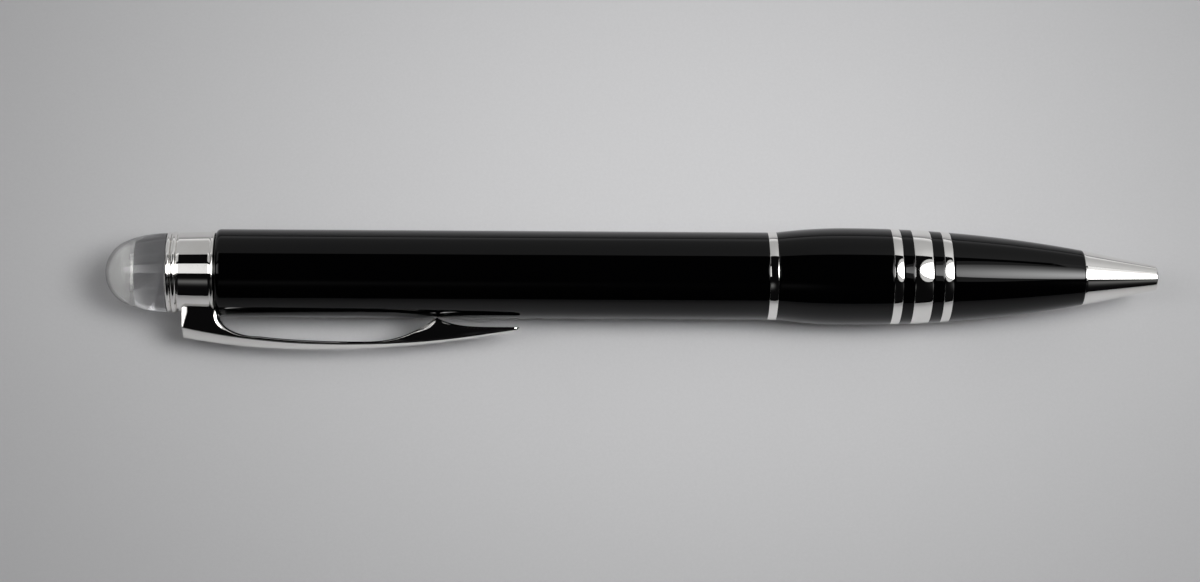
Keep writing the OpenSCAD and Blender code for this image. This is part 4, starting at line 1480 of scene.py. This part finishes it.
@dataclass(frozen=True)
class StudioCamera:
    """Camera at the photograph's view, worked out for a picture of 1200 by 582."""

    lens: float = 97.75
    sensor: float = 36.0
    distance: float = 430.0
    elevation_deg: float = 68.0
    yaw_deg: float = 2.2
    roll_deg: float = 0.31
    target_x: float = -4.6
    drop: float = 2.10
    nearest: float = 0.01
    farthest: float = 50.0

    def build(self, axis: PenAxis) -> None:
        """Adds the camera and makes it the scene's own.

        Args:
            axis: The pen's axis, which the camera looks at.
        """
        yaw, lift, roll = (math.radians(v) for v in (self.yaw_deg, self.elevation_deg, self.roll_deg))
        back = Vector((-math.sin(yaw), -math.cos(yaw) * math.cos(lift), math.cos(yaw) * math.sin(lift)))
        along = Vector(ALONG)
        level = (along - along.dot(back) * back).normalized()
        upright = back.cross(level)
        right = math.cos(roll) * level + math.sin(roll) * upright
        up = back.cross(right)
        spot = Vector((self.target_x * MM, axis.y, axis.z)) + back * self.distance * MM - up * self.drop * MM
        camera = bpy.data.cameras.new("studio_camera")
        camera.lens = self.lens
        camera.sensor_width = self.sensor
        camera.sensor_fit = "HORIZONTAL"
        camera.clip_start = self.nearest
        camera.clip_end = self.farthest
        holder = bpy.data.objects.new("studio_camera", camera)
        holder.matrix_world = Matrix.Translation(spot) @ Matrix((right, up, back)).transposed().to_4x4()
        bpy.context.scene.collection.objects.link(holder)
        bpy.context.scene.camera = holder


@dataclass
class Studio:
    """Pale floor, soft lights and a dark ceiling round the pen."""

    axis: PenAxis
    groups: EffectGroups
    floor_half: float = 4.0
    dark: Colour = (0.003, 0.003, 0.0032)
    pale: Colour = (0.4, 0.4, 0.41)
    pale_up: tuple[float, float] = (0.2, 0.03)
    pale_back: tuple[float, float] = (0.1, 0.5)

    def _lights(self) -> tuple[SoftBox, ...]:
        """Large lights overhead on the right and left, dim ones in front and a panel behind.

        Returns:
            The lights.
        """
        return (
            SoftBox("right_softbox", (1.2, -0.14, 1.6), (1.7, 1.4), DOWN, 0.3,
                    HotSpot((1.2, -0.35, 1.6), (0.75, 0.5, 1.0), 16.5), LightShape.ROUND),
            SoftBox("right_halo", (0.77, -0.2, 1.62), (0.86, 1.84), DOWN, 0.55, shape=LightShape.ROUND),
            SoftBox("right_fill", (1.6, 0.78, 1.61), (1.3, 0.42), DOWN, 0.85),
            SoftBox("left_softbox", (-1.2375, -0.3, 1.6), (1.925, 0.8), DOWN, 0.7,
                    HotSpot((-1.4, -0.3, 1.6), (0.6, 1.0, 1.0), 3.4)),
            SoftBox("left_fill", (-1.31, 0.75, 1.61), (1.78, 0.9), DOWN, 0.5),
            SoftBox("front_dim", (-0.25, -1.6, 1.45), (1.4, 2.2), BACKWARD, 0.0,
                    HotSpot((-0.25, -1.6, 1.5), (0.28, 1.0, 0.32), 0.13)),
            SoftBox("front_right_dim", (1.5, -1.6, 1.4), (2.6, 2.3), BACKWARD, 0.0,
                    HotSpot((1.75, -1.6, 1.45), (0.45, 1.0, 0.6), 0.14)),
            SoftBox("back_panel", (0.0, 1.6, 1.325), (4.8, 2.65), FORWARD, 0.4,
                    HotSpot((1.2, 1.6, 2.3), (0.9, 1.0, 1.3), 0.25)),
        )

    def _floor(self) -> None:
        """Lays a wide sheet of paper under the pen."""
        bm = bmesh.new()
        bmesh.ops.create_grid(bm, x_segments=1, y_segments=1, size=self.floor_half)
        floor = make_piece("studio_floor", bm, FloorPaper().build(self.groups))

    def _world(self) -> None:
        """Makes the world pale towards the horizon behind the pen and dark elsewhere."""
        world = bpy.data.worlds.new("studio_world")
        world.use_nodes = True
        bpy.context.scene.world = world
        graph = Graph(world.node_tree)
        way = graph.add("SeparateXYZ", {"Vector": graph.add("TexCoord").outputs["Generated"]}).outputs
        low, behind = graph.spread(way["Z"], *self.pale_up), graph.spread(way["Y"], *self.pale_back)
        glow = graph.blend(graph.math("MULTIPLY", low, behind), self.dark, self.pale)
        graph.fill(graph.find("BACKGROUND"), {"Color": glow, "Strength": 1.0})

    def build(self) -> None:
        """Sets up the floor, the world, the lights and the camera."""
        self._floor()
        self._world()
        for light in self._lights():
            light.build()
        StudioCamera().build(self.axis)
        bpy.context.scene.view_settings.view_transform = "Standard"


def main() -> None:
    """Builds the pen's pieces in order, then the studio round them."""
    logging.basicConfig(level=logging.INFO, format="%(name)s: %(message)s")
    axis = PenAxis.of_frame()
    groups = EffectGroups()
    finishes = Finishes(groups, axis)
    for assembly in (NoseCone, Grip, Barrel, Collar, Dome, PocketClip, WritingPoint, InnerWorks):
        assembly(axis, finishes).build()
    Studio(axis, groups).build()


if __name__ == "__main__":
    main()
